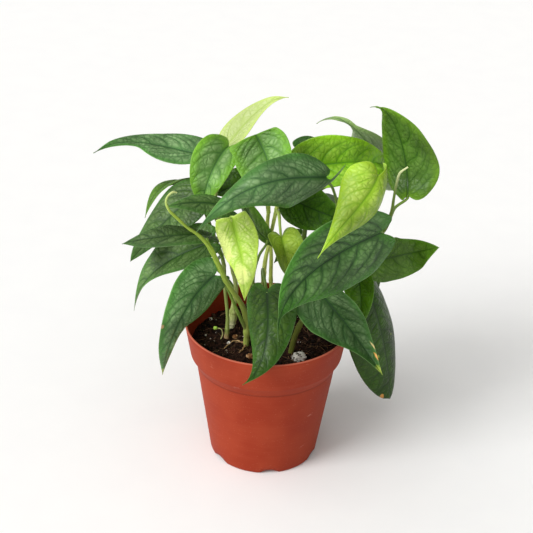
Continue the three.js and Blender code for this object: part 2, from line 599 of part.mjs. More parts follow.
// Soil: it fills the pot. Clods roughen its surface, which falls towards the wall.
const CLOD = { width: 6.1, depth: 5.3, height: 0.6 };
const CRUMB = { width: 2.9, depth: 3.7, height: 0.36 };
const SOIL_FLAT = 0.7;
const SOIL_FALL = 2;
function soilLevel(x, y) {
  const clods = CLOD.height * Math.sin(x / CLOD.width + 0.7) * Math.cos(y / CLOD.depth - 0.4);
  const crumbs = CRUMB.height * Math.sin(x / CRUMB.width - y / CRUMB.depth);
  const edge = Math.max(0, Math.hypot(x, y) / RIM_RADIUS - SOIL_FLAT);
  return SOIL_TOP + SOIL_RELIEF * (clods + crumbs - SOIL_FALL * edge);
}
function soil() {
  const radius = (z) => wallRadius(z) - WALL - FIT_GAP;
  const base = FLOOR_TOP + FIT_GAP;
  const edgeTop = SOIL_TOP - SOIL_RELIEF * SOIL_FALL;
  const sides = [base, SHOULDER.z, SHOULDER_MIDDLE.z, COLLAR_FOOT.z, edgeTop].map((z) => [radius(z), z]);
  const rings = Array.from({ length: SOIL_RINGS }, (_, i) => {
    const share = (SOIL_RINGS - i) / SOIL_RINGS;
    return [radius(edgeTop) * share, SOIL_TOP];
  });
  const geometry = lathe([[0, base], ...sides, ...rings, [0, SOIL_TOP]], SOIL_SIDES);
  const position = geometry.getAttribute("position");
  for (let i = 0; i < position.count; i += 1) {
    if (position.getZ(i) > (edgeTop + SOIL_TOP) / 2) {
      position.setZ(i, soilLevel(position.getX(i), position.getY(i)));
    }
  }
  return solidOf(geometry);
}

// Assembly
const group = new THREE.Group();
const LOOKS = {
  [DARK]: { color: 0x3f6b3a, roughness: 0.42 },
  [FRESH]: { color: 0x5f9a35, roughness: 0.42 },
  [LIME]: { color: 0xa8cf4a, roughness: 0.42 },
  [PALE]: { color: 0xcfe08a, roughness: 0.42 },
  stem: { color: 0x93a35a, roughness: 0.5 },
  pot: { color: 0xa8442f, roughness: 0.6 },
  soil: { color: 0x241913, roughness: 0.95 },
  perlite: { color: 0xe6e0d6, roughness: 0.9 },
  bark: { color: 0x9c7350, roughness: 0.9 },
  seedling: { color: 0xa9b86a, roughness: 0.6 },
};
function addNode(name, look, solid) {
  const material = new THREE.MeshStandardMaterial({ ...LOOKS[look], metalness: 0 });
  const mesh = new THREE.Mesh(geometryOf(solid), material);
  mesh.name = name;
  group.add(mesh);
}

addNode("pot", "pot", pot());
const stems = {};
const holes = [seedling(FIT_GAP)];
for (const [name, path] of Object.entries(VINES)) {
  const roots = ROOTS.filter((entry) => entry.vine === name);
  const stem = vine(path);
  const clearance = vine(path, FIT_GAP).solid;
  stems[name] = { at: stem.at, clearance };
  holes.push(clearance, ...roots.map((entry) => root(entry, FIT_GAP)));
  addNode(`vine_${name}`, "stem", roots.reduce((solid, entry) => solid.add(root(entry)), stem.solid));
}
addNode("seedling", "seedling", seedling());
for (const entry of CHIPS) {
  holes.push(chip(entry, FIT_GAP));
  addNode(entry.name, entry.look, chip(entry));
}
addNode("soil", "soil", largest(holes.reduce((solid, hole) => solid.subtract(hole), soil())));
for (const entry of LEAVES) {
  const leaf = { ...DEFAULTS, ...entry, points: entry.rib.map(seen) };
  const stem = stems[leaf.vine];
  const stalk = largest(petiole(leaf, stem).subtract(stem.clearance));
  addNode(leaf.name, leaf.colour, blade(leaf).add(stalk));
}

export default group;
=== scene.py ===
import json
import math

import bmesh
import bpy
import numpy as np
from mathutils import Color, Matrix, Vector


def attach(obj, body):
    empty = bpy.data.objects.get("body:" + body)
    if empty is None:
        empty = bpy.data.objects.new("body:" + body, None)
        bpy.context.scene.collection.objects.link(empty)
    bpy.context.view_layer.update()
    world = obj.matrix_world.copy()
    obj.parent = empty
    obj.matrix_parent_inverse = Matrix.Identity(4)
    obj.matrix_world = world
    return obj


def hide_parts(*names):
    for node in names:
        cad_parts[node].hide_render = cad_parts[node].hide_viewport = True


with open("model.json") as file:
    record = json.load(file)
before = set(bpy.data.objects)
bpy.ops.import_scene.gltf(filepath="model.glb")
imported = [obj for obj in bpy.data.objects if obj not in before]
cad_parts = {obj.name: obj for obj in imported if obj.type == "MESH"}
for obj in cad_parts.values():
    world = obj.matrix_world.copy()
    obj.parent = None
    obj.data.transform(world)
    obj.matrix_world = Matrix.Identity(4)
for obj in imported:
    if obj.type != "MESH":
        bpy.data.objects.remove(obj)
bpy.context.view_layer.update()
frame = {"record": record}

MM = 0.001
TURN = 2 * math.pi

# The camera, worked out from the pot's rim, wall and foot. focal and centre are in pixels of a frame that is
# FRAME_WIDTH pixels wide.
VIEW = dict(focal=1300, elevation=28.1, roll=1.82, distance=815, x=-1.45, z=134, centre=266.5)
FRAME_WIDTH = 533
SENSOR_WIDTH = 36

# Pot
RIM_RADIUS = 52.5
POT_HEIGHT = 94
WALL = 1.4
FOOT_RADIUS = 35.4
FOOT_WIDTH = 3.4
FOOT_BEVEL = 1.2
WALL_OUTSIDE = [(FOOT_RADIUS, FOOT_BEVEL), (45.2, 66.5), (46.8, 69.8), (49, 73.2), (50.6, 82.5),
                (RIM_RADIUS, POT_HEIGHT - WALL / 2)]
FLOOR_LIFT = 3
PAD_RADIUS = 9
NOTCH = dict(count=6, first_angle=37, radius=9, height=3, flare=60)
DRAIN = dict(count=6, first_angle=7, radius=3.2, circle=22)

# Soil
SOIL_TOP = 80
SOIL_RELIEF = 1.5
SOIL_EDGE = 0.35
CLODS = dict(long=(6.1, 5.3), shift=(0.7, 0.4), short=(2.9, 3.7), short_share=0.6, height=0.6)
SOIL_EDGE_FALL = dict(start=0.7, steep=2)

# Foliage
BLADE_THICKNESS = 0.45
TIP_HALF_WIDTH = 0.2
PETIOLE_RADIUS = 0.85
PETIOLE_SUNK = 2.5
PETIOLE_LEAD = 0.7
PETIOLE_UNDER = 1.2
VEIN_GAP = 12.5
NET_SIZE = 3.6
STEM_DEPTH = 14

# Vines, from the soil up. Each point is (pixel x, pixel y, depth y, radius of the stem).
VINES = {
    "left": [(231.5, 327, 15, 2), (232.5, 318, 15, 3), (234, 304, 14, 1.7), (236, 288, 12, 1.4),
             (231, 262, 10, 1.5), (222, 228, 8, 1.3), (214, 196, 12, 1.2)],
    "side": [(226, 339, 2, 1.6), (227, 331, 3, 1.5), (227.5, 317, 4, 1.1), (225, 288, 4, 1.1),
             (223, 260, 1, 1.2), (212, 231, -2, 1.1)],
    "runner": [(246, 345, -6, 1.9), (247, 326, -9, 2), (243, 308, -14, 1.7), (227, 283, -35, 1.4),
               (219.5, 267, -42, 1.7), (208, 245, -47, 1.3), (197, 234, -50, 1), (188, 228, -52, 0.8),
               (177, 218, -54, 0.9), (169, 210, -54, 0.8), (166, 202, -52, 0.7), (168, 196, -50, 0.6),
               (173, 192, -48, 0.6), (176.5, 192.6, -46, 0.5)],
    "centre": [(268, 325, 18, 1.8), (263.5, 286, 14, 1.6), (265, 262, 11, 1.4), (269, 243, 10, 1.2),
               (274, 220, 9, 1.2), (278, 202, 8, 1.2), (284, 178, 8, 1.1)],
    "middle": [(277, 321, 24, 1.6), (271, 285, 22, 1.3), (271, 252, 20, 1.2), (267.5, 225, 18, 1.2),
               (268.5, 205, 17, 1.2), (262, 172, 18, 1.1)],
    "right": [(291, 352, -14, 1.8), (302, 321, -19, 1.7), (342, 270, -16, 1.6), (383, 231, -11, 1.5),
              (391, 214, -12, 1.1), (394, 197, -15, 0.8), (397, 182, -16, 0.8), (400, 173, -16, 0.7),
              (408, 167, -15, 0.5)],
    "back": [(286, 313, 33, 1.9), (298, 270, 34, 1.7), (305, 230, 32, 1.5), (309, 190, 28, 1.3)],
}

# Roots and the seedling, each point (pixel x, pixel y, depth y)
ROOT_RADIUS = 0.6
ROOT_LIFT = 0.3
ROOTS = [
    [(246, 343, -6), (236, 341, -3), (229, 345, -8), (224, 350, -13)],
    [(246, 344, -6), (243, 350, -13), (239, 354, -18)],
]
SEEDLING = dict(
    path=[(219, 342, -1), (222.5, 335, -1), (221, 329, -1), (215.5, 328, -1)], radius=0.38, head=1.3,
)

# Chips that lie on the soil
CHIPS = [
    dict(name="perlite_1", look="perlite", at=(299, 355.2, -22), radius=4.7),
    dict(name="perlite_2", look="perlite", at=(229, 343, -5), radius=1.4),
    dict(name="perlite_3", look="perlite", at=(211, 320, 26), radius=1.5),
    dict(name="perlite_4", look="perlite", at=(318, 318, 26), radius=2.2),
    dict(name="bark_1", look="bark", at=(250, 358, -22), radius=2.6),
    dict(name="bark_2", look="bark", at=(235, 336, 4), radius=1.9),
    dict(name="bark_3", look="bark", at=(256, 308, 38), radius=3),
]
CHIP_LUMPS = 0.12
CHIP_SHAPE = np.array([1, 0.9, 0.78])
CHIP_LIFT = 0.25

# Leaves. rib: the midrib from the petiole to the tip, each point (pixel x, pixel y, depth y).
# face: where the upper side looks. width: across the blade at its widest. full and taper: how the blade
# widens from its base and narrows to its tip. skew: how far its two halves differ. fold and arch: the rise
# and the fall of its cross-section. twist: degrees along the midrib. lobe: reach of the basal lobes. ear: the
# half (-1 or 1) whose corner reaches further, how far back, and how far inwards. tail: the share of the
# midrib that is a narrow drip tip, and tip: the half width where it starts. vine, at: the vine that carries
# it, and how far up. via: points that the petiole passes. drop: how far below the blade the petiole bends
# towards it. look: its colours. light: how light they are.
# light: painted light and shade, besides the leaf's own tone, making its copy of a look lighter or darker
DEFAULTS = dict(full=0.45, taper=1.25, skew=0, fold=0.4, arch=0.2, twist=0, lobe=8, ear=(1, 0, 0), tail=0,
                tip=0, via=(), light=1, drop=2.2)
LEAVES = {
    "leaf_01": dict(
        vine="left", at=0.93, via=[(204, 176, 20)],
        rib=[(193.5, 153, 22), (159, 145.5, 32), (125, 142.5, 30), (93.5, 153, 1)], face=(0, -0.07, 1),
        width=36, full=0.53, taper=1.64, fold=0.34, arch=0.26, twist=25, look="silver", light=1.35,
    ),
    "leaf_02": dict(
        vine="left", at=0.99, via=[(222, 172, 15)],
        rib=[(229, 146, 15), (216.5, 162, 0), (206.5, 186.5, -8), (204, 205.5, -10)],
        face=(-0.18, -0.88, 0.45), width=27, full=0.54, taper=1.07, skew=0.08, fold=0.52, arch=0.14, lobe=7,
        look="mint",
    ),
    "leaf_03": dict(
        vine="middle", at=0.99, rib=[(256, 134.5, 2), (264, 151, -3), (270, 177.5, -18), (253, 202, -46)],
        face=(-0.13, -0.82, 0.56), width=34.3, full=0.4, taper=0.56, skew=0.07, fold=0.46, arch=0.14,
        twist=17, lobe=0.7, ear=(1, -2.6, -6.7), look="emerald", light=0.92,
    ),
    "leaf_04": dict(
        vine="right", at=0.345, via=[(338, 226, -20), (337, 204, -25), (332, 187, -33)],
        rib=[(326.5, 177, -42), (294, 178, -52), (246, 191, -59), (196, 232.5, -58)],
        face=(0.06, -0.98, 0.18), width=32, full=0.65, taper=1.36, skew=-0.23, fold=0, arch=0.73, twist=15,
        lobe=3.6, ear=(-1, 19, 16), look="silver",
    ),
    "leaf_05": dict(
        vine="right", at=0.43, via=[(373, 212, -18), (370, 197, -34)],
        rib=[(378, 176, -46), (362.5, 202.5, -54), (340, 229, -62), (317.5, 258.5, -70)],
        face=(0.36, -0.88, 0.29), width=31.6, full=0.47, taper=1.77, skew=-0.04, fold=0.16, arch=0.78,
        twist=35, lobe=5.8, ear=(-1, 6, 6), look="lime",
    ),
    "leaf_06": dict(
        vine="centre", at=0.97, rib=[(302.5, 165.5, 8), (330, 164, 5), (365, 162, 12), (393.5, 169.5, 34)],
        face=(0, -0.82, 0.57), width=32, full=0.49, taper=0.96, fold=0.59, arch=0.06, twist=-16,
        look="bright",
    ),
    "leaf_07": dict(
        vine="right", at=0.53, rib=[(407.5, 195, -3), (405, 158, 7), (392.5, 120.5, 2), (370, 107.5, 7)],
        face=(-0.52, -0.85, -0.05), width=36.8, full=0.63, taper=1.03, skew=0.16, fold=0.23, arch=0.27,
        twist=-23, lobe=5.5, tail=0.12, tip=0.7, ear=(-1, -3.2, 3.2), look="meadow", drop=0.5,
    ),
    "leaf_08": dict(
        vine="middle", at=0.88, via=[(248, 166, 33)],
        rib=[(229.5, 142.5, 32), (244, 125, 38), (265, 105.5, 42), (288.5, 97.5, 30)],
        face=(-0.65, -0.38, 0.66), width=24, full=0.51, taper=1.56, arch=0.19, look="pale",
    ),
    "leaf_09": dict(
        vine="centre", at=0.8, via=[(279, 215, -3), (280, 227, -9)],
        rib=[(281.5, 237, -12), (285.5, 255.5, -23), (290, 281, -12)], face=(0.4, -0.78, 0.49), width=20,
        full=0.56, taper=1.22, skew=-0.09, fold=0.6, arch=0, lobe=6, look="olive_lime",
    ),
    "leaf_10": dict(
        vine="centre", at=0.92, rib=[(285, 194, 18), (305, 205.5, 26), (328.5, 215, 22), (352.5, 223, 0)],
        face=(-0.08, -0.96, 0.27), width=29, full=0.5, taper=0.93,
        fold=0.46, arch=0.14, look="forest", light=1.5,
    ),
    "leaf_11": dict(
        vine="back", at=0.84,
        rib=[(397.5, 177, 46), (375, 152.5, 36), (348, 123.5, 32), (316.5, 123.5, 63)],
        face=(-0.47, -0.87, 0.15), width=35.6, full=0.47, taper=1.22, skew=-0.35, fold=0.03, arch=0.61,
        twist=-60, tail=0.32, tip=2, look="ash", light=1.2,
    ),
    "leaf_12": dict(
        vine="right", at=0.41,
        rib=[(380.5, 233, -32), (335.5, 255.5, -41), (293, 291.5, -57), (278.3, 342, -84)],
        face=(0.36, -0.93, -0.11), width=55, full=0.55, taper=1.26, fold=0.27, arch=0.19, twist=35,
        tail=0.12, tip=1.2, look="patchy", light=0.95,
    ),
    "leaf_13": dict(
        vine="back", at=0.99, rib=[(301, 154, 46), (322, 163, 52), (345, 180, 54)], face=(0, -0.6, 0.8),
        width=26, look="silver", light=0.9,
    ),
    "leaf_14": dict(
        vine="left", at=0.66, via=[(234, 240, -12), (232, 224, -38)],
        rib=[(231.5, 217.5, -43), (239, 245.5, -42), (243, 268, -52), (244.5, 300.5, -39)],
        face=(-0.22, -0.92, 0.33), width=23.7, full=0.41, taper=0.95, skew=-0.06, fold=0.42, arch=0.48,
        twist=31, lobe=2.6, ear=(1, -0.5, -1.6), look="cream", light=0.97,
    ),
    "leaf_15": dict(
        vine="centre", at=0.27,
        rib=[(267, 290.5, -42), (268, 320, -44), (263, 356.5, -55), (242.5, 385, -70)],
        face=(-0.16, -0.95, 0.29), width=30, full=0.65, taper=1.46, skew=-0.08, fold=0.14, arch=0.49,
        twist=17, lobe=5.3, look="deep", light=0.88,
    ),
    "leaf_16": dict(
        vine="right", at=0.24,
        rib=[(317.5, 289.5, -25), (336, 311.5, -26), (358, 339.5, -28), (382.5, 375, -48)],
        face=(-0.11, -0.94, 0.31), width=32, full=0.34, taper=1.07, skew=0.05, fold=0.77, arch=-0.07,
        twist=-36, lobe=9, look="silver", light=0.75,
    ),
    "leaf_17": dict(
        vine="right", at=0.38, rib=[(372, 262, -4), (395, 256.5, 1), (418.5, 251.5, -3), (439, 247.5, -33)],
        face=(0.19, -0.98, -0.04), width=31, full=0.48, taper=1.09, fold=0.41, arch=0.19, twist=-35, lobe=7,
        look="olive",
    ),
    "leaf_18": dict(
        vine="back", at=0.62,
        rib=[(363.5, 272.5, 27), (375, 310, 24), (384.5, 347.5, 25), (390, 398.5, 33)],
        face=(0.68, -0.69, 0.24), width=41.3, full=0.64, taper=0.53, skew=0.09, fold=0.04, arch=0.5,
        twist=10, lobe=6.3, look="dusk",
    ),
    "leaf_19": dict(
        vine="right", at=0.275, rib=[(352, 259, -3), (360.5, 292, -5), (358.5, 335.5, -10)],
        face=(-0.46, -0.88, 0.11), width=23, full=0.5, taper=1.18, fold=0.49, twist=-24, look="grass",
    ),
    "leaf_20": dict(
        vine="runner", at=0.12, via=[(240, 317, -15), (232, 299, -22), (224, 283, -29)],
        rib=[(214.5, 276, -35), (191, 301.5, -48), (172, 338.5, -61), (162.5, 374.5, -46)],
        face=(0.59, -0.81, 0.01), width=33, full=0.49, skew=-0.13, fold=0.09, arch=0.47, twist=-38,
        lobe=6.5, ear=(1, 0.5, -1.9), look="silver", light=1.1,
    ),
    "leaf_21": dict(
        vine="side", at=0.8, rib=[(208, 243, -7), (176, 257, -8), (148, 278.5, -10), (134, 311, -16)],
        face=(-0.06, -0.44, 0.89), width=29, full=0.51, taper=1.49, fold=0.53, arch=0.11, twist=34,
        look="slate", light=1.1,
    ),
    "leaf_22": dict(
        vine="runner", at=0.41, rib=[(210, 236, -22), (168, 236, -40), (122, 244, -32)],
        face=(0, 0.1, 0.99), width=29, full=0.58, taper=1.21,
        fold=0.32, arch=0.28, twist=-45, look="slate", light=0.66,
    ),
    "leaf_23": dict(
        vine="side", at=0.98, via=[(206, 214, 14)],
        rib=[(200, 196, 9), (177.5, 209.5, 7), (153, 235, -2), (130.5, 261.5, -26)],
        face=(-0.04, -0.31, 0.95), width=32, full=0.5, taper=1,
        fold=0.3, arch=0.28, twist=29, look="slate", light=0.88,
    ),
    "leaf_24": dict(
        vine="left", at=0.83, rib=[(204, 186, 28), (178.5, 182.5, 31), (158, 191.5, 25), (145, 218, 20)],
        face=(-0.87, -0.05, 0.49), width=23, full=0.55, taper=1.32, fold=0.37, arch=0.23, twist=-45,
        look="olive",
    ),
    "leaf_25": dict(
        vine="left", at=0.8, rib=[(226, 207, -22), (196, 202.5, -29), (164.5, 208, -37)],
        face=(0, -0.41, 0.91), width=18, taper=1.23, fold=0.2, arch=0.36, look="slate",
    ),
    "leaf_26": dict(
        vine="middle", at=0.78, rib=[(245, 187, 30), (230, 188, 30), (214, 196, 31)], face=(0, -0.7, 0.7),
        width=24, look="forest",
    ),
    "leaf_27": dict(
        vine="centre", at=0.2, via=[(253, 284, -2), (259, 256, -4)],
        rib=[(266, 238.5, 0), (253, 222, 1), (242.5, 202, 3), (226.5, 189.5, 4)], face=(-0.5, -0.76, -0.42),
        width=18, full=0.47, fold=0.23, arch=0.44, lobe=9, look="olive", light=0.92,
    ),
    "leaf_28": dict(
        vine="back", at=0.7, rib=[(298, 240, 44), (287, 249, 48), (274, 263, 52)], face=(0, -0.7, 0.7),
        width=18, look="forest",
    ),
    "leaf_29": dict(
        vine="back", at=0.9, rib=[(312, 196, 54), (325, 212, 78), (338, 240, 92)], face=(0.2, 0.6, 0.8),
        width=34, look="silver",
    ),
    "leaf_30": dict(
        vine="left", at=0.76, rib=[(206, 200, 36), (186, 214, 58), (172, 246, 70)], face=(-0.4, 0.4, 0.8),
        width=32, look="deep",
    ),
    "leaf_31": dict(
        vine="left", at=0.45, rib=[(212, 262, 34), (195, 282, 54), (186, 318, 66)], face=(-0.5, 0.6, 0.6),
        width=32, look="grass",
    ),
    "leaf_32": dict(
        vine="back", at=0.55, rib=[(345, 246, 44), (364, 268, 56), (374, 310, 60)], face=(0.5, 0.6, 0.5),
        width=34, look="deep",
    ),
    "leaf_33": dict(
        vine="back", at=0.4, rib=[(302, 262, 58), (306, 278, 80), (310, 312, 88)], face=(0, 0.8, 0.5),
        width=33, look="deep",
    ),
    "leaf_34": dict(
        vine="back", at=0.945, rib=[(246, 178, 50), (238, 172, 68), (226, 186, 88)], face=(-0.1, 0.4, 0.9),
        width=32, look="meadow",
    ),
}


# The looks of a blade. Its colours are, in turn: the ground along the midrib and the veins, the patches
# between them, the veins, the band towards the margin, the thin rim and the lower side. amount: how much the
# patches show. width: the band's, in mm. relief: how far the blade swells between its veins. shade: how much
# its brightness differs from place to place, where that isn't SHADE.
SHADE = 0.3
BLADE_LOOKS = {
    "silver": dict(amount=0.8, width=3, relief=0.5, colours=(
        (66, 106, 52), (128, 158, 108), (30, 66, 32), (68, 116, 48), (120, 160, 88), (96, 126, 76),
    )),
    "slate": dict(amount=0.75, width=2.4, relief=0.4, colours=(
        (62, 96, 36), (114, 144, 84), (32, 64, 30), (70, 112, 44), (108, 142, 82), (130, 152, 104),
    )),
    "patchy": dict(amount=0.85, width=5, relief=0.8, colours=(
        (46, 88, 30), (110, 148, 84), (18, 46, 18), (62, 114, 34), (118, 158, 84), (90, 120, 72),
    )),
    "deep": dict(amount=0.7, width=3, relief=0.5, colours=(
        (40, 76, 6), (78, 108, 30), (20, 48, 10), (54, 98, 18), (112, 152, 76), (88, 120, 68),
    )),
    "forest": dict(amount=0.45, width=3, relief=0.4, colours=(
        (48, 86, 8), (84, 120, 32), (22, 50, 6), (64, 106, 8), (92, 128, 52), (84, 112, 56),
    )),
    "dusk": dict(amount=0.5, width=2, relief=0.35, colours=(
        (36, 68, 4), (64, 102, 16), (22, 46, 8), (46, 78, 12), (74, 98, 46), (78, 100, 58),
    )),
    "ash": dict(amount=0.7, width=2, relief=0.3, colours=(
        (124, 150, 96), (160, 172, 146), (78, 104, 66), (130, 160, 92), (156, 180, 116), (150, 168, 128),
    )),
    "olive": dict(amount=0.6, width=2.4, relief=0.4, colours=(
        (70, 108, 22), (100, 136, 52), (40, 74, 14), (76, 118, 22), (112, 142, 70), (98, 126, 66),
    )),
    "grass": dict(amount=0.4, width=4, relief=0.35, colours=(
        (60, 102, 6), (86, 120, 24), (34, 70, 4), (68, 112, 6), (110, 154, 60), (96, 130, 62),
    )),
    "mint": dict(amount=0.85, width=5, relief=0.6, colours=(
        (88, 134, 58), (152, 186, 120), (50, 92, 38), (112, 168, 44), (136, 180, 72), (116, 150, 80),
    )),
    "emerald": dict(amount=0.75, width=5, relief=0.8, colours=(
        (82, 128, 44), (144, 178, 116), (40, 86, 28), (106, 160, 40), (124, 172, 70), (106, 146, 70),
    )),
    "bright": dict(amount=0.7, width=3, relief=0.6, colours=(
        (112, 168, 22), (162, 202, 70), (64, 118, 14), (130, 184, 26), (150, 192, 76), (126, 162, 70),
    )),
    "meadow": dict(amount=0.6, width=4, relief=0.5, colours=(
        (68, 106, 30), (104, 136, 64), (34, 70, 18), (94, 134, 30), (130, 172, 70), (112, 146, 66),
    )),
    "olive_lime": dict(amount=0.6, width=2, relief=0.3, colours=(
        (146, 178, 46), (172, 200, 80), (108, 146, 32), (128, 160, 40), (156, 182, 84), (142, 168, 72),
    )),
    "lime": dict(amount=0.75, width=2.5, relief=0.6, colours=(
        (134, 172, 36), (180, 204, 96), (104, 150, 18), (144, 182, 36), (180, 214, 92), (156, 192, 72),
    )),
    "cream": dict(amount=0.8, width=2, relief=0.25, shade=0.12, colours=(
        (160, 196, 66), (214, 226, 146), (138, 182, 40), (186, 220, 84), (212, 230, 146), (182, 210, 100),
    )),
    "pale": dict(amount=0.7, width=2, relief=0.3, shade=0.08, colours=(
        (176, 194, 116), (192, 204, 150), (156, 182, 88), (182, 202, 110), (192, 208, 134), (184, 200, 120),
    )),
}


# Noise: large numbers that scatter a lattice point's place into a value that looks random, and how many cells
# the lattice is shifted by, so that none of its places is below 0
HASH_AXES = np.array([374761393, 668265263, 2147483647])
HASH_STEP = 1274126177
HASH_BITS = 0xFFFFFFFF
NOISE_SHIFT = 500


def unit(rows):
    """Each row as a vector of length 1."""
    return rows / np.linalg.norm(rows, axis=-1, keepdims=True)


def smooth(x, low, high):
    """0 below low, 1 above high, and a smooth rise between them."""
    t = np.clip((np.asarray(x, float) - low) / (high - low), 0, 1)
    return t * t * (3 - 2 * t)


def hump(x, width):
    """1 where x is 0, and less the further x is from it, by width."""
    return np.exp(-((x / width) ** 2))


def tapered(t, first, last):
    """first where t is 0, last where it is 1, and evenly between them."""
    return first + (last - first) * t


def gaps(points):
    """The distance from each point to the next."""
    return np.linalg.norm(np.diff(points, axis=0), axis=1)


def spots(x, y, z):
    """Points from their coordinates, which may be single numbers, rows or columns."""
    return np.stack(np.broadcast_arrays(x, y, z), -1)


def lattice(cells, seed):
    """A value from -1 to 1 for each point of a lattice, which looks random."""
    mixed = (cells @ HASH_AXES + seed * HASH_STEP) & HASH_BITS
    mixed = ((mixed ^ (mixed >> 13)) * HASH_STEP) & HASH_BITS
    return ((mixed ^ (mixed >> 16)) & 0xFFFF) / 32767.5 - 1


def noise(points, size, seed=0):
    """Smooth noise from -1 to 1 at each point, its lumps about size apart."""
    cells = np.asarray(points, float) / size + NOISE_SHIFT
    low = np.floor(cells).astype(np.int64)
    part = cells - low
    part = part * part * (3 - 2 * part)
    total = 0
    for corner in np.ndindex(2, 2, 2):
        weight = np.prod(np.where(corner, part, 1 - part), axis=-1)
        total = total + weight * lattice(low + np.array(corner), seed)
    return total


# Places
ELEVATION = math.radians(VIEW["elevation"])
ROLL = math.radians(VIEW["roll"])
EYE = np.array([
    VIEW["x"],
    -VIEW["distance"] * math.cos(ELEVATION),
    VIEW["z"] + VIEW["distance"] * math.sin(ELEVATION),
])


def seen(point):
    """The point behind pixel (x, y) of the reference view which lies y millimetres behind the pot's axis."""
    pixel_x, pixel_y, y = point[:3]
    du, dv = pixel_x - VIEW["centre"], pixel_y - VIEW["centre"]
    right = math.cos(ROLL) * du + math.sin(ROLL) * dv
    up = math.sin(ROLL) * du - math.cos(ROLL) * dv
    ray = np.array([
        right,
        VIEW["focal"] * math.cos(ELEVATION) + up * math.sin(ELEVATION),
        -VIEW["focal"] * math.sin(ELEVATION) + up * math.cos(ELEVATION),
    ])
    return EYE + ray * (y - EYE[1]) / ray[1]


def soil_level(x, y):
    """The height of the soil's clods, which is lower towards the wall."""
    (long_x, long_y), (shift_x, shift_y), (short_x, short_y) = CLODS["long"], CLODS["shift"], CLODS["short"]
    clods = np.sin(x / long_x + shift_x) * np.cos(y / long_y - shift_y)
    clods = clods + CLODS["short_share"] * np.sin(x / short_x - y / short_y)
    edge = np.maximum(0, np.hypot(x, y) / RIM_RADIUS - SOIL_EDGE_FALL["start"])
    return SOIL_TOP + SOIL_RELIEF * (CLODS["height"] * clods - SOIL_EDGE_FALL["steep"] * edge)


def on_soil(point, lift):
    x, y, _ = seen(point)
    return np.array([x, y, soil_level(x, y) + lift])


def wall_radius(z):
    """The outer radius of the pot's wall at height z."""
    return np.interp(z, [height for _, height in WALL_OUTSIDE], [radius for radius, _ in WALL_OUTSIDE])


# Curves
def through(points, t):
    """The smooth curve through three or four points, at each t from 0 to 1."""
    last = len(points) - 1
    place = 0
    for i, point in enumerate(points):
        weight = np.ones_like(t)
        for j in range(last + 1):
            if j != i:
                weight = weight * (t * last - j) / (i - j)
        place = place + weight[..., None] * point
    return place


def catmull(points):
    """The centripetal curve through the points, as a function of t from 0 to 1."""
    p = np.asarray(points, float)
    p = np.vstack([2 * p[0] - p[1], p, 2 * p[-1] - p[-2]])
    spans = np.maximum(gaps(p), 1e-9) ** 0.5
    last = len(p) - 3

    def at(t):
        place = np.clip(np.asarray(t, float), 0, 1) * last
        i = np.minimum(place.astype(int), last - 1)
        w = (place - i)[..., None]
        d0, d1, d2 = (spans[i + k][..., None] for k in range(3))
        a, b, c, d = (p[i + k] for k in range(4))
        out = ((b - a) / d0 - (c - a) / (d0 + d1) + (c - b) / d1) * d1
        back = ((c - b) / d1 - (d - b) / (d1 + d2) + (d - c) / d2) * d1
        return b + out * w + (3 * (c - b) - 2 * out - back) * w**2 + (2 * (b - c) + out + back) * w**3

    return at


def direction(curve, t):
    step = 0.01
    return unit(curve(np.minimum(1, t + step)) - curve(np.maximum(0, t - step)))


# Pieces
def placed(name, data):
    """A new object in the scene."""
    made = bpy.data.objects.new(name, data)
    bpy.context.scene.collection.objects.link(made)
    return made


class Shape:
    """Points and faces gathered for one piece, with values at each face corner for its materials."""

    def __init__(self):
        self.points, self.faces, self.slots, self.parts = [], [], [], []
        self.count = 0

    def add(self, points, faces, slot=0, **values):
        """faces is a list of arrays, each of faces with as many corners. A value has three numbers for every
        point, or for every face corner in turn."""
        corners = np.concatenate([block.ravel() for block in faces])
        held = {name: rows if len(rows) == len(corners) else rows[corners] for name, rows in values.items()}
        self.parts.append((len(corners), held))
        for block in faces:
            self.faces.extend((block + self.count).tolist())
            self.slots.extend([slot] * len(block))
        self.points.append(np.asarray(points, float))
        self.count += len(points)

    def piece(self, name, materials, slot, *nodes):
        """The finished piece, which stands for the CAD nodes."""
        mesh = bpy.data.meshes.new(name)
        mesh.from_pydata((np.vstack(self.points) * MM).tolist(), [], self.faces)
        for material in materials:
            mesh.materials.append(material)
        mesh.polygons.foreach_set("material_index", self.slots)
        mesh.shade_smooth()
        for key in sorted({key for _, held in self.parts for key in held}):
            rows = [held.get(key, np.zeros((size, 3))) for size, held in self.parts]
            layer = mesh.attributes.new(key, "FLOAT_VECTOR", "CORNER")
            layer.data.foreach_set("vector", np.concatenate(rows).astype(np.float32).ravel())
        made = placed(name, mesh)
        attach(made, "root")
        if nodes:
            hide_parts(*nodes)
        return made


def grid_faces(rows, columns, start=0, closed=False, flip=False):
    """Quads between rows of points that follow one another. closed joins the last column to the first."""
    i = np.arange(rows - 1)[:, None]
    j = np.arange(columns if closed else columns - 1)[None, :]
    after = (j + 1) % columns
    low, high = i * columns, (i + 1) * columns
    quads = np.stack([low + j, low + after, high + after, high + j], -1)
    quads = quads.reshape(-1, 4) + start
    return quads[:, ::-1] if flip else quads


def closed_faces(rows, columns):
    """Faces over rings of points, and fans from the first and the last ring to the two points that follow."""
    j = np.arange(columns)
    after = (j + 1) % columns
    count = rows * columns
    top = count - columns
    fans = np.concatenate([
        np.stack([np.full(columns, count), after, j], -1),
        np.stack([np.full(columns, count + 1), top + j, top + after], -1),
    ])
    return [grid_faces(rows, columns, closed=True), fans]


def ring_angles(sides):
    return np.arange(sides) * TURN / sides


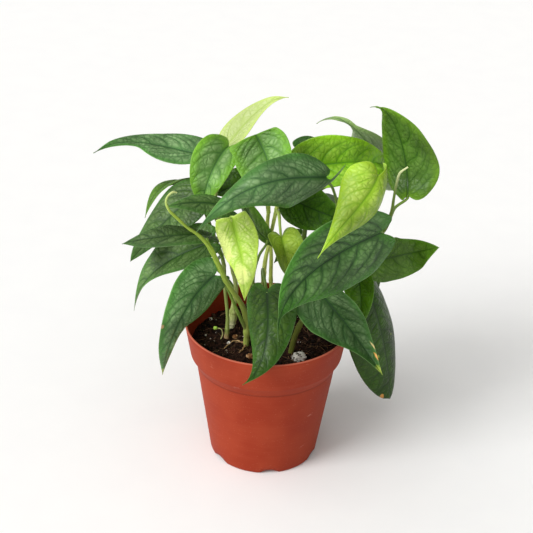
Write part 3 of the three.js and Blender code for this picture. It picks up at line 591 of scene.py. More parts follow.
def tube(curve, radius, steps, sides):
    """A rod round a curve: its points, its faces, and three values for each point, which are its share of the
    way, its turn round the curve and the length so far. radius takes columns of t and rows of angles."""
    t = np.linspace(0, 1, steps + 1)
    angle = ring_angles(sides)
    centre, tangent = curve(t), direction(curve, t)
    side = np.array([1.0, 0, 0])
    across = []
    for way in tangent:
        side = unit(side - way * side.dot(way))
        across.append(side)
    across = np.array(across)
    other = np.cross(tangent, across)
    size = np.broadcast_to(radius(t[:, None], angle[None, :]), (steps + 1, sides))[..., None]
    ring = np.cos(angle)[None, :, None] * across[:, None] + np.sin(angle)[None, :, None] * other[:, None]
    points = np.vstack([(centre[:, None] + ring * size).reshape(-1, 3), centre[0], centre[-1]])
    length = np.concatenate([[0], np.cumsum(gaps(centre))])
    along = spots(t[:, None], angle[None, :] / TURN, length[:, None]).reshape(-1, 3)
    return points, closed_faces(steps + 1, sides), np.vstack([along, along[0], along[-1]])


# Materials
def colour(rgb):
    """A colour as the eye reads it, from 0 to 255, in the linear values that shaders take."""
    return (*Color([part / 255 for part in rgb]).from_srgb_to_scene_linear(), 1.0)


def dimmed(rgb, share):
    return tuple(part * share for part in rgb)


class Value:
    """What a node gives out. Sums with it are made of nodes too."""

    def __init__(self, graph, socket):
        self.graph, self.socket = graph, socket

    def __add__(self, other):
        return self.graph.math("ADD", self, other)

    def __sub__(self, other):
        return self.graph.math("SUBTRACT", self, other)

    def __rsub__(self, other):
        return self.graph.math("SUBTRACT", other, self)

    def __mul__(self, other):
        return self.graph.math("MULTIPLY", self, other)

    def __truediv__(self, other):
        return self.graph.math("DIVIDE", self, other)

    def __pow__(self, other):
        return self.graph.math("POWER", self, other)

    def __abs__(self):
        return self.graph.math("ABSOLUTE", self)


class Graph:
    """The nodes of a material or world. An input is a number, a colour from 0 to 255, a vector or a Value."""

    def __init__(self, owner):
        owner.use_nodes = True
        self.owner = owner
        self.nodes, self.links = owner.node_tree.nodes, owner.node_tree.links

    def put(self, socket, value):
        if isinstance(value, Value):
            self.links.new(value.socket, socket)
        else:
            socket.default_value = colour(value) if isinstance(value, tuple) else value

    def node(self, kind, inputs, output=0, **settings):
        """What a new node gives out. inputs holds its values by the name or number of their sockets."""
        made = self.nodes.new(f"ShaderNode{kind}")
        for key, setting in settings.items():
            setattr(made, key, setting)
        for key, value in inputs.items():
            self.put(made.inputs[key], value)
        return Value(self, made.outputs[output])

    def math(self, operation, a, b=0.0):
        return self.node("Math", {0: a, 1: b}, operation=operation)

    def most(self, a, b):
        return self.math("MAXIMUM", a, b)

    def smooth(self, value, low, high, at_low=0.0, at_high=1.0):
        """at_low where value is below low, at_high above high, and smooth between them."""
        ends = {"From Min": low, "From Max": high, "To Min": at_low, "To Max": at_high}
        return self.node("MapRange", {"Value": value, **ends}, interpolation_type="SMOOTHSTEP")

    def mix(self, factor, a, b, blend="MIX"):
        """a where factor is 0, and b where it is 1."""
        return self.node("Mix", {0: factor, 6: a, 7: b}, 2, data_type="RGBA", blend_type=blend)

    def split(self, vector):
        made = self.nodes.new("ShaderNodeSeparateXYZ")
        self.put(made.inputs[0], vector)
        return [Value(self, socket) for socket in made.outputs]

    def join(self, x, y, z):
        return self.node("CombineXYZ", {0: x, 1: y, 2: z})

    def attribute(self, name):
        return self.node("Attribute", {}, "Vector", attribute_name=name)

    def place(self):
        """Where a point is, in millimetres."""
        position = self.node("NewGeometry", {}, "Position")
        return self.node("VectorMath", {0: position, "Scale": 1 / MM}, operation="SCALE")

    def noise(self, vector, size, detail=2.0, rough=0.5):
        """Cloudy noise from 0 to 1, its lumps about size apart."""
        inputs = {"Vector": vector, "Scale": 1 / size, "Detail": detail, "Roughness": rough}
        return self.node("TexNoise", inputs, "Fac")

    def cells(self, vector, size, feature="DISTANCE_TO_EDGE"):
        """How far a point is from the edge or the middle of its cell."""
        return self.node("TexVoronoi", {"Vector": vector, "Scale": 1 / size}, "Distance", feature=feature)

    def tone(self, vector, size):
        """A random shade for each cell, from 0.75 to 1."""
        shade = self.node("TexVoronoi", {"Vector": vector, "Scale": 1 / size}, "Color", feature="F1")
        return self.smooth(self.split(shade)[0], 0.0, 1.0, 0.75, 1.0)

    def finish(self, base, rough, height=None, depth=0.3, specular=0.5):
        """The finished material. height is from 0 to 1 and stands for depth millimetres."""
        shader = self.nodes["Principled BSDF"].inputs
        self.put(shader["Base Color"], base)
        self.put(shader["Roughness"], rough)
        self.put(shader["Specular IOR Level"], specular)
        if height is not None:
            bump = {"Strength": 1.0, "Distance": depth * MM, "Height": height}
            self.put(shader["Normal"], self.node("Bump", bump))
        return self.owner


def material_graph(name):
    return Graph(bpy.data.materials.new(name))


# How the parts of a blade's pattern fade. Each has where that starts and ends, in millimetres or as a share,
# and its strength before and after.
VEINS = dict(
    midrib=(0.35, 1, 1, 0), midrib_halo=(0.7, 3.6, 1, 0),
    lateral=(0.2, 0.75, 1, 0), lateral_halo=(0.4, 2.4, 0.8, 0),
    to_margin=(0.45, 1, 1, 0.2), lateral_gaps=(0.35, 0.6, 0.3, 0.9),
    net=(0.02, 0.12, 0.45, 0), net_margin=(0.3, 2, 0, 1), net_gaps=(0.3, 0.65, 0.4, 1),
    swell=(0, 0.3, 0, 1), patch_cloud=(0.34, 0.62, 0.45, 1), patch_middle=(0, 0.3, 0.6, 1),
)
VEIN_WOBBLE = dict(size=7, reach=0.45)
NET_WARP = dict(size=3, reach=2.4)
LATERAL_GAPS_SIZE = 6
NET_GAPS_SIZE = 11
PATCH_CLOUD = dict(size=7, detail=3, rough=0.6)
# Side veins slant, so they are closer to one another than VEIN_GAP, and closest at the margin. The midrib
# widens towards its base.
VEIN_SLANT = 0.8
MARGIN_SQUEEZE = 0.4
MIDRIB_SPREAD = 1.15
# How far one leaf's pattern is from the next one's, so that no two are alike
SPOT_STEP = 37
NET_STEP = 11
RELIEF_STEP = 31


def vein_lines(g, plane, veins, seed):
    """The blade's veins, dark from 0 to 1, how light each patch between them is, and how far it swells."""
    along, across, _ = g.split(plane)
    phase, margin, share = g.split(veins)
    spot = g.join(along, across, seed * SPOT_STEP)
    reach = abs(across)
    out = reach / (reach + margin + 0.01)
    phase = phase + (g.noise(spot, VEIN_WOBBLE["size"]) - 0.5) * VEIN_WOBBLE["reach"]
    gap_here = (1.0 - out * MARGIN_SQUEEZE) * (VEIN_GAP * VEIN_SLANT)
    lateral = g.math("PINGPONG", phase, 0.5) * gap_here
    middle = reach / (MIDRIB_SPREAD - share)
    fade = g.smooth(out, *VEINS["to_margin"])
    strong = fade * g.smooth(g.noise(spot, LATERAL_GAPS_SIZE), *VEINS["lateral_gaps"])
    core = g.most(g.smooth(lateral, *VEINS["lateral"]) * strong, g.smooth(middle, *VEINS["midrib"]))
    warp = (g.noise(spot, NET_WARP["size"]) - 0.5) * NET_WARP["reach"]
    net = g.join(along + warp, across + warp, seed * NET_STEP)
    edge = g.cells(net, NET_SIZE)
    fine = g.smooth(edge, *VEINS["net"]) * g.smooth(margin, *VEINS["net_margin"])
    fine = fine * g.smooth(g.noise(spot, NET_GAPS_SIZE), *VEINS["net_gaps"])
    halo = g.most(g.smooth(lateral, *VEINS["lateral_halo"]) * fade, g.smooth(middle, *VEINS["midrib_halo"]))
    free = 1.0 - halo
    cloud = g.noise(spot, **PATCH_CLOUD)
    tone = g.tone(net, NET_SIZE) * g.smooth(cloud, *VEINS["patch_cloud"])
    tone = tone * g.smooth(edge, *VEINS["patch_middle"])
    return g.most(core, fine), tone * free, g.smooth(edge, *VEINS["swell"]) * free, spot


# The rest of a blade's material: its fading parts, as above, and how much each part shows and is raised
BLADE_SKIN = dict(
    band=(0.3, 1.6), rim=(0.1, 0.45, 0.5, 0), cloud=(0.25, 0.75), gloss=(0.3, 0.7, 0.33, 0.43),
    vein=0.75, patch_below=0.3, vein_below=0.4, dull_below=0.15, bump=0.4, specular=0.25,
)
BLADE_HEIGHTS = dict(grain=0.15, vein=0.4, swell=0.5)
BLADE_CLOUD = dict(size=20, detail=1)
BLADE_GRAIN = dict(size=0.5, detail=2)
MARK = dict(ramp=(0.3, 1.2, 0.9, 0), ragged=1.6)
MARK_NOISE = dict(size=1.6, detail=3)


def with_mark(g, base, spot, along, across, mark):
    """base with a ragged round blemish on it."""
    at_along, at_across, reach_along, reach_across, tint = mark
    off = abs((along - at_along) / reach_along) ** 2.0 + abs((across - at_across) / reach_across) ** 2.0
    ragged = off + (g.noise(spot, **MARK_NOISE) - 0.5) * MARK["ragged"]
    return g.mix(g.smooth(ragged, *MARK["ramp"]), base, tint)


def blade_material(name, look, light, seed, marks):
    """A leaf's blade: dark along its veins, lighter patches between them, a plainer margin and a thin rim."""
    g = material_graph(name)
    plane, veins = g.attribute("plane"), g.attribute("veins")
    along, across, under = g.split(plane)
    margin = g.split(veins)[1]
    core, patches, swell, spot = vein_lines(g, plane, veins, seed)
    ground, patch, vein_tint, band, rim, lower = look["colours"]
    inside = g.smooth(margin, *[share * look["width"] for share in BLADE_SKIN["band"]])
    bloom = patches * inside * look["amount"]
    base = g.mix(inside, band, ground)
    base = g.mix(bloom, base, patch)
    base = g.mix(core * BLADE_SKIN["vein"], base, vein_tint)
    base = g.mix(g.smooth(margin, *BLADE_SKIN["rim"]), base, rim)
    spread = look.get("shade", SHADE)
    # Painted light and shade, besides the leaf's own tone: light makes this copy of its look lighter or
    # darker
    darker, lighter = (1 - spread) * light, (1 + spread) * light
    shade = g.smooth(g.noise(spot, **BLADE_CLOUD), *BLADE_SKIN["cloud"], darker, lighter)
    base = g.mix(1.0, base, g.join(shade, shade, shade), "MULTIPLY")
    for mark in marks:
        base = with_mark(g, base, spot, along, across, mark)
    below = g.mix(bloom * BLADE_SKIN["patch_below"], lower, rim)
    below = g.mix(core * BLADE_SKIN["vein_below"], below, vein_tint)
    base = g.mix(under, base, below)
    grain = g.noise(spot, **BLADE_GRAIN)
    height = grain * BLADE_HEIGHTS["grain"] - core * BLADE_HEIGHTS["vein"] + swell * BLADE_HEIGHTS["swell"]
    rough = g.smooth(grain, *BLADE_SKIN["gloss"]) + under * BLADE_SKIN["dull_below"]
    return g.finish(base, rough, height, BLADE_SKIN["bump"], BLADE_SKIN["specular"])


# A stem's streaks, round and along it, then its fading parts as above
STREAKS = dict(round=2, along=0.12, size=0.9)
STEM_SKIN = dict(streaks=(0.35, 0.68), foot=(0.85, 0), tip=(0.65, 1, 0, 0.85), gloss=(0.3, 0.7, 0.36, 0.52))
STEM_GRAIN = dict(size=0.7, share=0.4)


def stem_material(name, body, foot, tip, streak, reach=0.2):
    """A stem or petiole: streaked along its length, with other colours at its tip and at its foot, which goes
    up to reach."""
    g = material_graph(name)
    share, turn, length = g.split(g.attribute("along"))
    turned = turn * TURN
    wide = STREAKS["round"]
    ring = g.join(g.math("COSINE", turned) * wide, g.math("SINE", turned) * wide, length * STREAKS["along"])
    streaks = g.noise(ring, STREAKS["size"], detail=3)
    base = g.mix(g.smooth(streaks, *STEM_SKIN["streaks"]), body, streak)
    base = g.mix(g.smooth(share, reach / 2, reach, *STEM_SKIN["foot"]), base, foot)
    base = g.mix(g.smooth(share, *STEM_SKIN["tip"]), base, tip)
    height = streaks + g.noise(g.place(), STEM_GRAIN["size"]) * STEM_GRAIN["share"]
    return g.finish(base, g.smooth(streaks, *STEM_SKIN["gloss"]), height, depth=0.18, specular=0.25)


# The dark pits of rough surfaces: how they fade, how much of the dark colour they keep, and their size. For a
# mottled surface that is a share of its lumps' size.
MOTTLED_PITS = dict(ramp=(0.3, 0.75, 0.35, 0), kept=0.5, share=0.2, height=0.5)
TINTED_PITS = dict(ramp=(0.35, 0.7, 0.5, 0), kept=0.4, size=0.35)


def mottled(name, dark, light, size, rough, depth, contrast=(0.35, 0.65)):
    """A rough natural surface in two colours, as lumps about size apart."""
    g = material_graph(name)
    place = g.place()
    coarse = g.noise(place, size, detail=4, rough=0.6)
    fine = g.noise(place, size * MOTTLED_PITS["share"], detail=3)
    base = g.mix(g.smooth(coarse, *contrast), dark, light)
    base = g.mix(g.smooth(fine, *MOTTLED_PITS["ramp"]), base, dimmed(dark, MOTTLED_PITS["kept"]))
    return g.finish(base, rough, coarse + fine * MOTTLED_PITS["height"], depth, specular=0.1)


def tinted(name, dark, light, rough=0.85):
    """Bits that differ in colour from one to the next, from dark to light."""
    g = material_graph(name)
    tint = g.split(g.attribute("tint"))[0]
    fine = g.noise(g.place(), TINTED_PITS["size"], detail=3)
    base = g.mix(tint, dark, light)
    base = g.mix(g.smooth(fine, *TINTED_PITS["ramp"]), base, dimmed(dark, TINTED_PITS["kept"]))
    return g.finish(base, rough, fine, depth=0.2, specular=0.15)


# The pot's two main colours, and each mark on them: its colour, then how it fades, as above
POT_COLOURS = dict(dark=(144, 48, 24), light=(153, 58, 33))
POT_MARKS = dict(
    lines=((200, 104, 78), (0.5, 0.75, 0, 0.08)),
    scuffs=((224, 160, 140), (0.62, 0.7, 0, 0.45)),
    specks=((222, 150, 128), (0.05, 0.16, 0.25, 0)),
    # Painted shade: a dark line along the crease under the collar's step
    collar_painted_shade=((96, 30, 14), (0.2, 1.1, 0.45, 0)),
    # Painted highlight: a light band along the rim's lip
    lip_painted_highlight=((214, 128, 104), (-0.9, -0.3, 0, 0.45)),
)
SCUFF_PLACES = (0.5, 0.62)
POT_CLOUD = (0.3, 0.7)
POT_GLOSS = (*POT_CLOUD, 0.54, 0.64)
# How lines and scuffs are stretched: their units for each radian round the pot and each millimetre up
LINE_UNITS = (3, 3)
SCUFF_UNITS = (12, 1)
SPECK_GAP = 1.9
POT_NOISES = dict(
    lines=dict(size=2.5, detail=3), cloud=dict(size=22, detail=2), scuffs=dict(size=5, detail=5, rough=0.7),
    worn=dict(size=14, detail=1), grain=dict(size=0.4, detail=2),
)
POT_HEIGHTS = dict(grain=0.35, lines=0.2)


def pot_material():
    """Matt terracotta-coloured plastic, with faint scuffs, specks and shallow drawn lines, a painted shade
    line under the collar's step and a painted highlight along the lip.
    """
    g = material_graph("pot_plastic")
    place = g.place()
    x, y, z = g.split(place)
    turn = g.math("ARCTAN2", x, y)
    lines = g.noise(g.join(turn * LINE_UNITS[0], 0.0, z * LINE_UNITS[1]), **POT_NOISES["lines"])
    scuffs = g.noise(g.join(turn * SCUFF_UNITS[0], 0.0, z * SCUFF_UNITS[1]), **POT_NOISES["scuffs"])
    cloud, worn, grain = (g.noise(place, **POT_NOISES[name]) for name in ("cloud", "worn", "grain"))
    worn = g.smooth(worn, *SCUFF_PLACES)
    by = dict(
        lines=lines, scuffs=scuffs, specks=g.cells(place, SPECK_GAP, "F1"),
        # Where the painted shade under the collar and the painted highlight on the lip fall
        collar_painted_shade=abs(z - WALL_OUTSIDE[1][1]), lip_painted_highlight=z - POT_HEIGHT,
    )
    base = g.mix(g.smooth(cloud, *POT_CLOUD), POT_COLOURS["dark"], POT_COLOURS["light"])
    for name, (tint, ramp) in POT_MARKS.items():
        shown = g.smooth(by[name], *ramp)
        base = g.mix(shown * worn if name == "scuffs" else shown, base, tint)
    height = grain * POT_HEIGHTS["grain"] + lines * POT_HEIGHTS["lines"]
    return g.finish(base, g.smooth(cloud, *POT_GLOSS), height, depth=0.1, specular=0.12)


STEM_LOOKS = {
    "left": dict(body=(214, 224, 144), foot=(222, 222, 178), tip=(160, 186, 90), streak=(168, 186, 98)),
    "side": dict(body=(160, 176, 96), foot=(186, 146, 112), tip=(128, 154, 72), streak=(132, 150, 74)),
    "runner": dict(body=(150, 174, 62), foot=(170, 186, 92), tip=(224, 234, 160), streak=(120, 148, 44)),
    "centre": dict(body=(232, 244, 132), foot=(206, 220, 104), tip=(180, 204, 100), streak=(196, 214, 104)),
    "middle": dict(body=(228, 242, 124), foot=(202, 218, 96), tip=(180, 206, 102), streak=(190, 210, 98)),
    "right": dict(body=(104, 128, 48), foot=(112, 118, 50), tip=(226, 230, 176), streak=(84, 106, 36)),
    "back": dict(body=(112, 136, 58), foot=(120, 126, 64), tip=(104, 132, 54), streak=(86, 110, 42)),
    "petiole": dict(body=(134, 164, 72), foot=(150, 168, 88), tip=(104, 140, 52), streak=(104, 136, 52)),
    "pale": dict(body=(176, 196, 104), foot=(160, 176, 100), tip=(176, 204, 84), streak=(150, 176, 78)),
    "seedling": dict(body=(214, 210, 148), foot=(170, 148, 108), tip=(200, 216, 128), streak=(190, 190, 120)),
    "bud": dict(body=(150, 190, 60), foot=(150, 190, 60), tip=(168, 204, 84), streak=(120, 164, 44)),
}


# Leaves. RIM_COLUMN: where the last column of points before the margin is. LOBE_LENGTH: the share of the
# midrib beside which the blade reaches back. TWIST_CENTRE: where the twist is 0. BASE_SHIFT: how far the
# outline starts from its point. FOLD_ROUND: how wide the midrib's bend is.
BLADE_ROWS = 92
BLADE_HALF_COLUMNS = 20
RIM_COLUMN = 0.96
LOBE_LENGTH = 0.32
LOBE_TURN = 0.8 * math.pi
TWIST_CENTRE = 0.3
BASE_SHIFT = 0.06
FOLD_ROUND = 0.06
# Side veins: how far they lean forwards, at first and towards the margin, how far those of one half are ahead
# of the other's, and the turn between those of a lobe
LATERAL_LEAN = 0.15
LATERAL_CURVE = 0.35
LATERAL_STAGGER = 0.35
BASAL_STEP = 0.85
# Ripples of the outline, as a share of its half width, and waves of the blade near its margin, of its width
RIPPLE = dict(share=0.025, size=9)
WAVE = dict(share=0.012, size=11, along=0.3, rise=(0, 0.2), seed=7)
# The swelling between the veins: it rises over these distances from the midrib and from the margin
QUILT = dict(sharp=2.5, midrib=(0.8, 5), margin=(0, 4), size=6, mean=0.8, uneven=0.7)
# The channel above the midrib, the ridge below it, and the blade's thinner margin
GROOVE = dict(depth=0.35, width=1.1)
KEEL = dict(depth=0.9, width=0.9, fade=0.7)
THIN_MARGIN = dict(share=0.35, width=0.8)


def outline(u, leaf):
    """The share of the blade's half width at u, 0 at the petiole and 1 at the tip."""
    full, taper = leaf["full"], leaf["taper"]

    def shape(x):
        return (x + BASE_SHIFT) ** full * (1 - x) ** taper

    return shape(u) / shape((full - taper * BASE_SHIFT) / (full + taper))


def leaf_frame(leaf, u):
    """The midrib's points, directions, sides and normals at each u."""
    def rib(t):
        return through(leaf["points"], t)

    tangent = direction(rib, u)
    across = np.cross(direction(rib, np.array([0.5]))[0], leaf["face"])
    side = unit(across - tangent * (tangent @ across)[:, None])
    turn = np.radians(leaf["twist"] * (u - TWIST_CENTRE))[:, None]
    side = side * np.cos(turn) + np.cross(tangent, side) * np.sin(turn)
    return rib(u), tangent, side, np.cross(side, tangent)


def half_width(leaf, u, v):
    """Half the blade's width on the side of v. A drip tip narrows evenly from the half width leaf["tip"]."""
    body = leaf["width"] / 2 * outline(np.minimum(1, u / (1 - leaf["tail"])), leaf)
    tail = leaf["tip"] * np.minimum(1, (1 - u) / leaf["tail"]) if leaf["tail"] else 0 * u
    return np.maximum(np.maximum(TIP_HALF_WIDTH, tail), body * (1 + np.sign(v) * leaf["skew"]))


def vein_phase(along, across, out, length, hand):
    """Whole numbers on the side veins. They arch forwards from the midrib; the last fan into the lobes."""
    lead = LATERAL_LEAN * out + LATERAL_CURVE * out**2
    origin = (along / length - lead) / (1 - lead)
    forward = length / VEIN_GAP * np.maximum(origin, 0)
    stagger = LATERAL_STAGGER * hand * smooth(forward, 0, 1)
    fan = -np.arctan2(np.maximum(-origin, 0) * length, across + 1e-6) / BASAL_STEP
    return forward + stagger + fan


def blade_surface(leaf, relief, seed):
    """The blade's middle surface, in rows from the petiole to the tip, and what its material is drawn by."""
    u = np.linspace(0, 1, BLADE_ROWS + 1)[:, None]
    half_columns = np.append(np.linspace(0, RIM_COLUMN, BLADE_HALF_COLUMNS), 1.0)
    v = np.concatenate([-half_columns[:0:-1], half_columns])
    rib, tangent, side, normal = leaf_frame(leaf, u[:, 0])
    length = gaps(rib).sum()
    ripple = noise(spots(u * length, RIPPLE["size"] * np.sign(v), 0.0), RIPPLE["size"], seed)
    half = half_width(leaf, u, v) * (1 + RIPPLE["share"] * ripple * v**2)
    near = np.maximum(0, 1 - u / LOBE_LENGTH) ** 2
    ear_side, ear_back, ear_inwards = leaf["ear"]
    ear = np.maximum(0, v * ear_side) ** 2
    reach = near * (leaf["lobe"] * np.sin(LOBE_TURN * np.abs(v)) + ear_back * ear)
    sideways = half * v - ear_side * ear_inwards * ear * near
    along = u * length - reach
    across = half * np.abs(v)
    margin = np.minimum(half * (1 - np.abs(v)), u * length)
    phases = [vein_phase(along, across, np.abs(v), length, hand) for hand in (-1, 1)]
    valley = np.abs((np.where(v < 0, *phases) % 1) - 0.5) * 2
    spot = spots(along, half * v, float(seed * RELIEF_STEP))
    uneven = QUILT["mean"] + QUILT["uneven"] * noise(spot, QUILT["size"], seed)
    swelling = relief * (1 - valley ** QUILT["sharp"]) * uneven
    swelling = swelling * smooth(across, *QUILT["midrib"]) * smooth(margin, *QUILT["margin"])
    wave = noise(spot * [1, WAVE["along"], 1], WAVE["size"], seed + WAVE["seed"])
    wave = WAVE["share"] * leaf["width"] * wave * v**2 * smooth(u, *WAVE["rise"])
    groove = GROOVE["depth"] * hump(across, GROOVE["width"]) * (1 - u)
    bend = np.sqrt(v**2 + FOLD_ROUND**2) - FOLD_ROUND
    rise = half * (leaf["fold"] * bend - leaf["arch"] * v**2)
    middle = (
        rib[:, None]
        + side[:, None] * sideways[..., None]
        + normal[:, None] * (rise + swelling + wave - groove)[..., None]
        - tangent[:, None] * reach[..., None]
    )
    keel = KEEL["depth"] * hump(across, KEEL["width"]) * (1 - u) ** KEEL["fade"]
    return u, v, length, half, along, margin, phases, middle, keel


def blade(shape, leaf, relief, seed):
    """A leaf's blade: two faces with shallow quilting between the veins, joined round the margin."""
    u, v, length, half, along, margin, phases, middle, keel = blade_surface(leaf, relief, seed)
    facing = unit(np.cross(np.gradient(middle, axis=1), np.gradient(middle, axis=0)))
    least = THIN_MARGIN["share"]
    thin = BLADE_THICKNESS / 2 * (least + (1 - least) * smooth(margin, 0, THIN_MARGIN["width"]))
    top = middle + facing * thin[..., None]
    bottom = middle - facing * (thin + keel)[..., None]
    rows, columns = along.shape
    size = rows * columns
    quads = np.concatenate([
        grid_faces(rows, columns),
        grid_faces(rows, columns, size, flip=True),
        rim_faces(rows, columns),
    ])
    here = quads % size
    right_half = v[here % columns].mean(axis=1) > 0
    left, right = (layer.ravel()[here] for layer in phases)
    phase = np.where(right_half[:, None], right, left)
    share = np.repeat(u, columns)[here]
    veins = np.stack([phase, margin.ravel()[here], share], -1).reshape(-1, 3)
    plane = np.concatenate([spots(along, half * v, lower).reshape(-1, 3) for lower in (0.0, 1.0)])
    points = np.concatenate([top.reshape(-1, 3), bottom.reshape(-1, 3)])
    shape.add(points, [quads], 0, plane=plane, veins=veins)
    return length, half


def rim_faces(rows, columns):
    """Quads that join the two faces of a blade round its margin."""
    size = rows * columns
    edge = np.concatenate([
        np.arange(columns),
        np.arange(1, rows) * columns + columns - 1,
        (rows - 1) * columns + np.arange(columns - 2, -1, -1),
        np.arange(rows - 2, 0, -1) * columns,
    ])
    after = np.roll(edge, -1)
    return np.stack([edge, edge + size, after + size, after], -1)


# A petiole without points to pass goes on with its stem, then leans towards the blade, by shares of its way
PETIOLE_RISE = 0.3
PETIOLE_LEAN = 0.15
PETIOLE_SIZES = (1.15, 0.85)
PETIOLE_END = dict(slimmer=0.7, over=(0.92, 1))
SHEATH = dict(swell=0.3, ends=(0.15, 0.5), sharp=8)
CHANNEL = dict(depth=0.12, width=0.5)


def petiole(shape, leaf, stem):
    """The leaf's stalk: sheathed and wider at its foot, channelled, and slim where it meets the blade."""
    start = stem(np.array([leaf["at"]]))[0]
    rise = direction(stem, np.array([leaf["at"]]))[0]
    end = leaf["points"][0]
    inward = direction(lambda t: through(leaf["points"], t), np.array([0.0]))[0]
    reach = np.linalg.norm(end - start)
    leaning = start + rise * reach * PETIOLE_RISE
    handles = [seen(point) for point in leaf["via"]] or [leaning + (end - leaning) * PETIOLE_LEAN]
    rib_length = gaps(through(leaf["points"], np.linspace(0, 1, 40))).sum()
    sunk, _, _, normal = leaf_frame(leaf, np.array([0.0, PETIOLE_SUNK / rib_length]))
    below = normal * -PETIOLE_UNDER
    lead = end - inward * PETIOLE_LEAD - [0, 0, leaf["drop"]]
    curve = catmull([start, *handles, lead + below[0], sunk[1] + below[1]])

    def radius(t, angle):
        sheath = SHEATH["swell"] * (1 - smooth(t, *SHEATH["ends"])) * np.abs(np.cos(angle)) ** SHEATH["sharp"]
        channel = CHANNEL["depth"] * hump(angle - TURN / 4, CHANNEL["width"])
        slim = 1 - PETIOLE_END["slimmer"] * smooth(t, *PETIOLE_END["over"])
        return PETIOLE_RADIUS * tapered(t, *PETIOLE_SIZES) * (1 + sheath - channel) * slim

    points, faces, along = tube(curve, radius, steps=36, sides=14)
    shape.add(points, faces, 1, along=along)


# Blemishes on the blades: place along and across from -1 to 1, reach along and across in mm, and colour
TAN, ORANGE, BROWN, YELLOW = (196, 176, 120), (214, 150, 70), (150, 124, 84), (150, 168, 70)
CREAM = (218, 232, 136)
MARKS = {
    "leaf_14": [(0.3, 0.85, 17, 5.5, CREAM), (0.74, 0.2, 9, 4.5, CREAM)],
    "leaf_16": [(0.8, -0.97, 4.5, 0.5, TAN), (0.88, -0.95, 3.4, 0.7, ORANGE), (0.97, 0, 4, 2, YELLOW)],
    "leaf_18": [(0.975, 0.9, 2.4, 1.2, ORANGE), (0.7, 0.3, 1.4, 0.8, YELLOW), (0.62, -0.5, 1, 0.7, YELLOW)],
    "leaf_20": [(0.6, 0.95, 1.3, 0.9, BROWN), (0.98, 0, 4, 2, YELLOW)],
}


def leaves():
    slots = {row["node"]: row["material_slot"] for row in frame["record"]["subparts"]}
    stalk = stem_material("petiole_skin", **STEM_LOOKS["petiole"])
    pale_stalk = stem_material("petiole_pale", **STEM_LOOKS["pale"])
    for number, (name, entry) in enumerate(LEAVES.items(), 1):
        leaf = {**DEFAULTS, **entry, "points": [seen(point) for point in entry["rib"]]}
        look = BLADE_LOOKS[leaf["look"]]
        shape = Shape()
        length, half = blade(shape, leaf, look["relief"], number)
        petiole(shape, leaf, stems[leaf["vine"]])
        marks = []
        for u, v, reach_along, reach_across, tint in MARKS.get(name, ()):
            row = half[round(u * BLADE_ROWS)]
            marks.append((u * length, v * row[-1 if v > 0 else 0], reach_along, reach_across, tint))
        skin = blade_material(f"blade_{number:02}", look, leaf["light"], number, marks)
        light = slots[name] in ("leaf_lime", "leaf_pale")
        shape.piece(f"blade_{number:02}", [skin, pale_stalk if light else stalk], slots[name], name)


# Vines
# Rings on a stem: where the bare ones are, and the swelling and the scar below it, as shares of the radius
BARE_RINGS = {"runner": [0.12, 0.3, 0.55]}
OTHER_RINGS = [0.2, 0.36]
RING = dict(swell=0.16, width=0.012)
SCAR = dict(depth=0.05, width=0.004, below=0.018)
RIBS = dict(height=0.03, count=5, turn=4)
# The share of a stem that has the colour of its foot
STEM_REACH = 0.36


def vine_curve(path):
    above = [seen(point) for point in path]
    return catmull([above[0] - [0, 0, STEM_DEPTH], *above])


def vine(name, path):
    """A stem with a swollen ring where each leaf leaves it, and with its roots."""
    sizes = np.array([path[0][3], *[point[3] for point in path]])
    joints = [leaf["at"] for leaf in LEAVES.values() if leaf["vine"] == name]
    joints += BARE_RINGS.get(name, OTHER_RINGS)

    def radius(t, angle):
        swelling = sum(RING["swell"] * hump(t - at, RING["width"]) for at in joints)
        scars = sum(SCAR["depth"] * hump(t - at + SCAR["below"], SCAR["width"]) for at in joints)
        ribs = RIBS["height"] * np.sin(RIBS["count"] * angle + RIBS["turn"] * t)
        return np.interp(t, np.linspace(0, 1, len(sizes)), sizes) * (1 + swelling - scars + ribs)

    shape = Shape()
    points, faces, along = tube(stems[name], radius, steps=150, sides=24)
    shape.add(points, faces, 0, along=along)
    if name == "runner":
        for index, route in enumerate(ROOTS):
            root(shape, route, index)
    skin = stem_material(f"stem_{name}", **STEM_LOOKS[name], reach=STEM_REACH)
    shape.piece(f"stem_{name}", [skin, root_skin], "stem", f"vine_{name}")


ROOT_SIZES = (1.1, 0.4)
ROOT_BENDS = dict(count=9, reach=0.35)


def root(shape, route, seed):
    """A root that lies on the soil, slightly crooked."""
    curve = catmull([on_soil(point, ROOT_RADIUS + ROOT_LIFT) for point in route])

    def bent(t):
        shake = [noise(spots(t * ROOT_BENDS["count"], 0.0, float(k + seed)), 1.0, k) for k in range(3)]
        return curve(t) + np.stack(shake, -1) * ROOT_BENDS["reach"] * np.sin(np.pi * t)[..., None]

    def radius(t, angle):
        return ROOT_RADIUS * tapered(t, *ROOT_SIZES)

    points, faces, along = tube(bent, radius, steps=40, sides=8)
    shape.add(points, faces, 1, along=along)


# Soil
SOIL_RINGS = 78
SOIL_SIDES = 220
SOIL_SIDE_HEIGHTS = (60, 71, SOIL_TOP - 2.6 * SOIL_RELIEF)
# The inmost ring's share of the radius, and how the rings crowd towards the wall
SOIL_MIDDLE = 0.012
SOIL_CROWD = 0.8
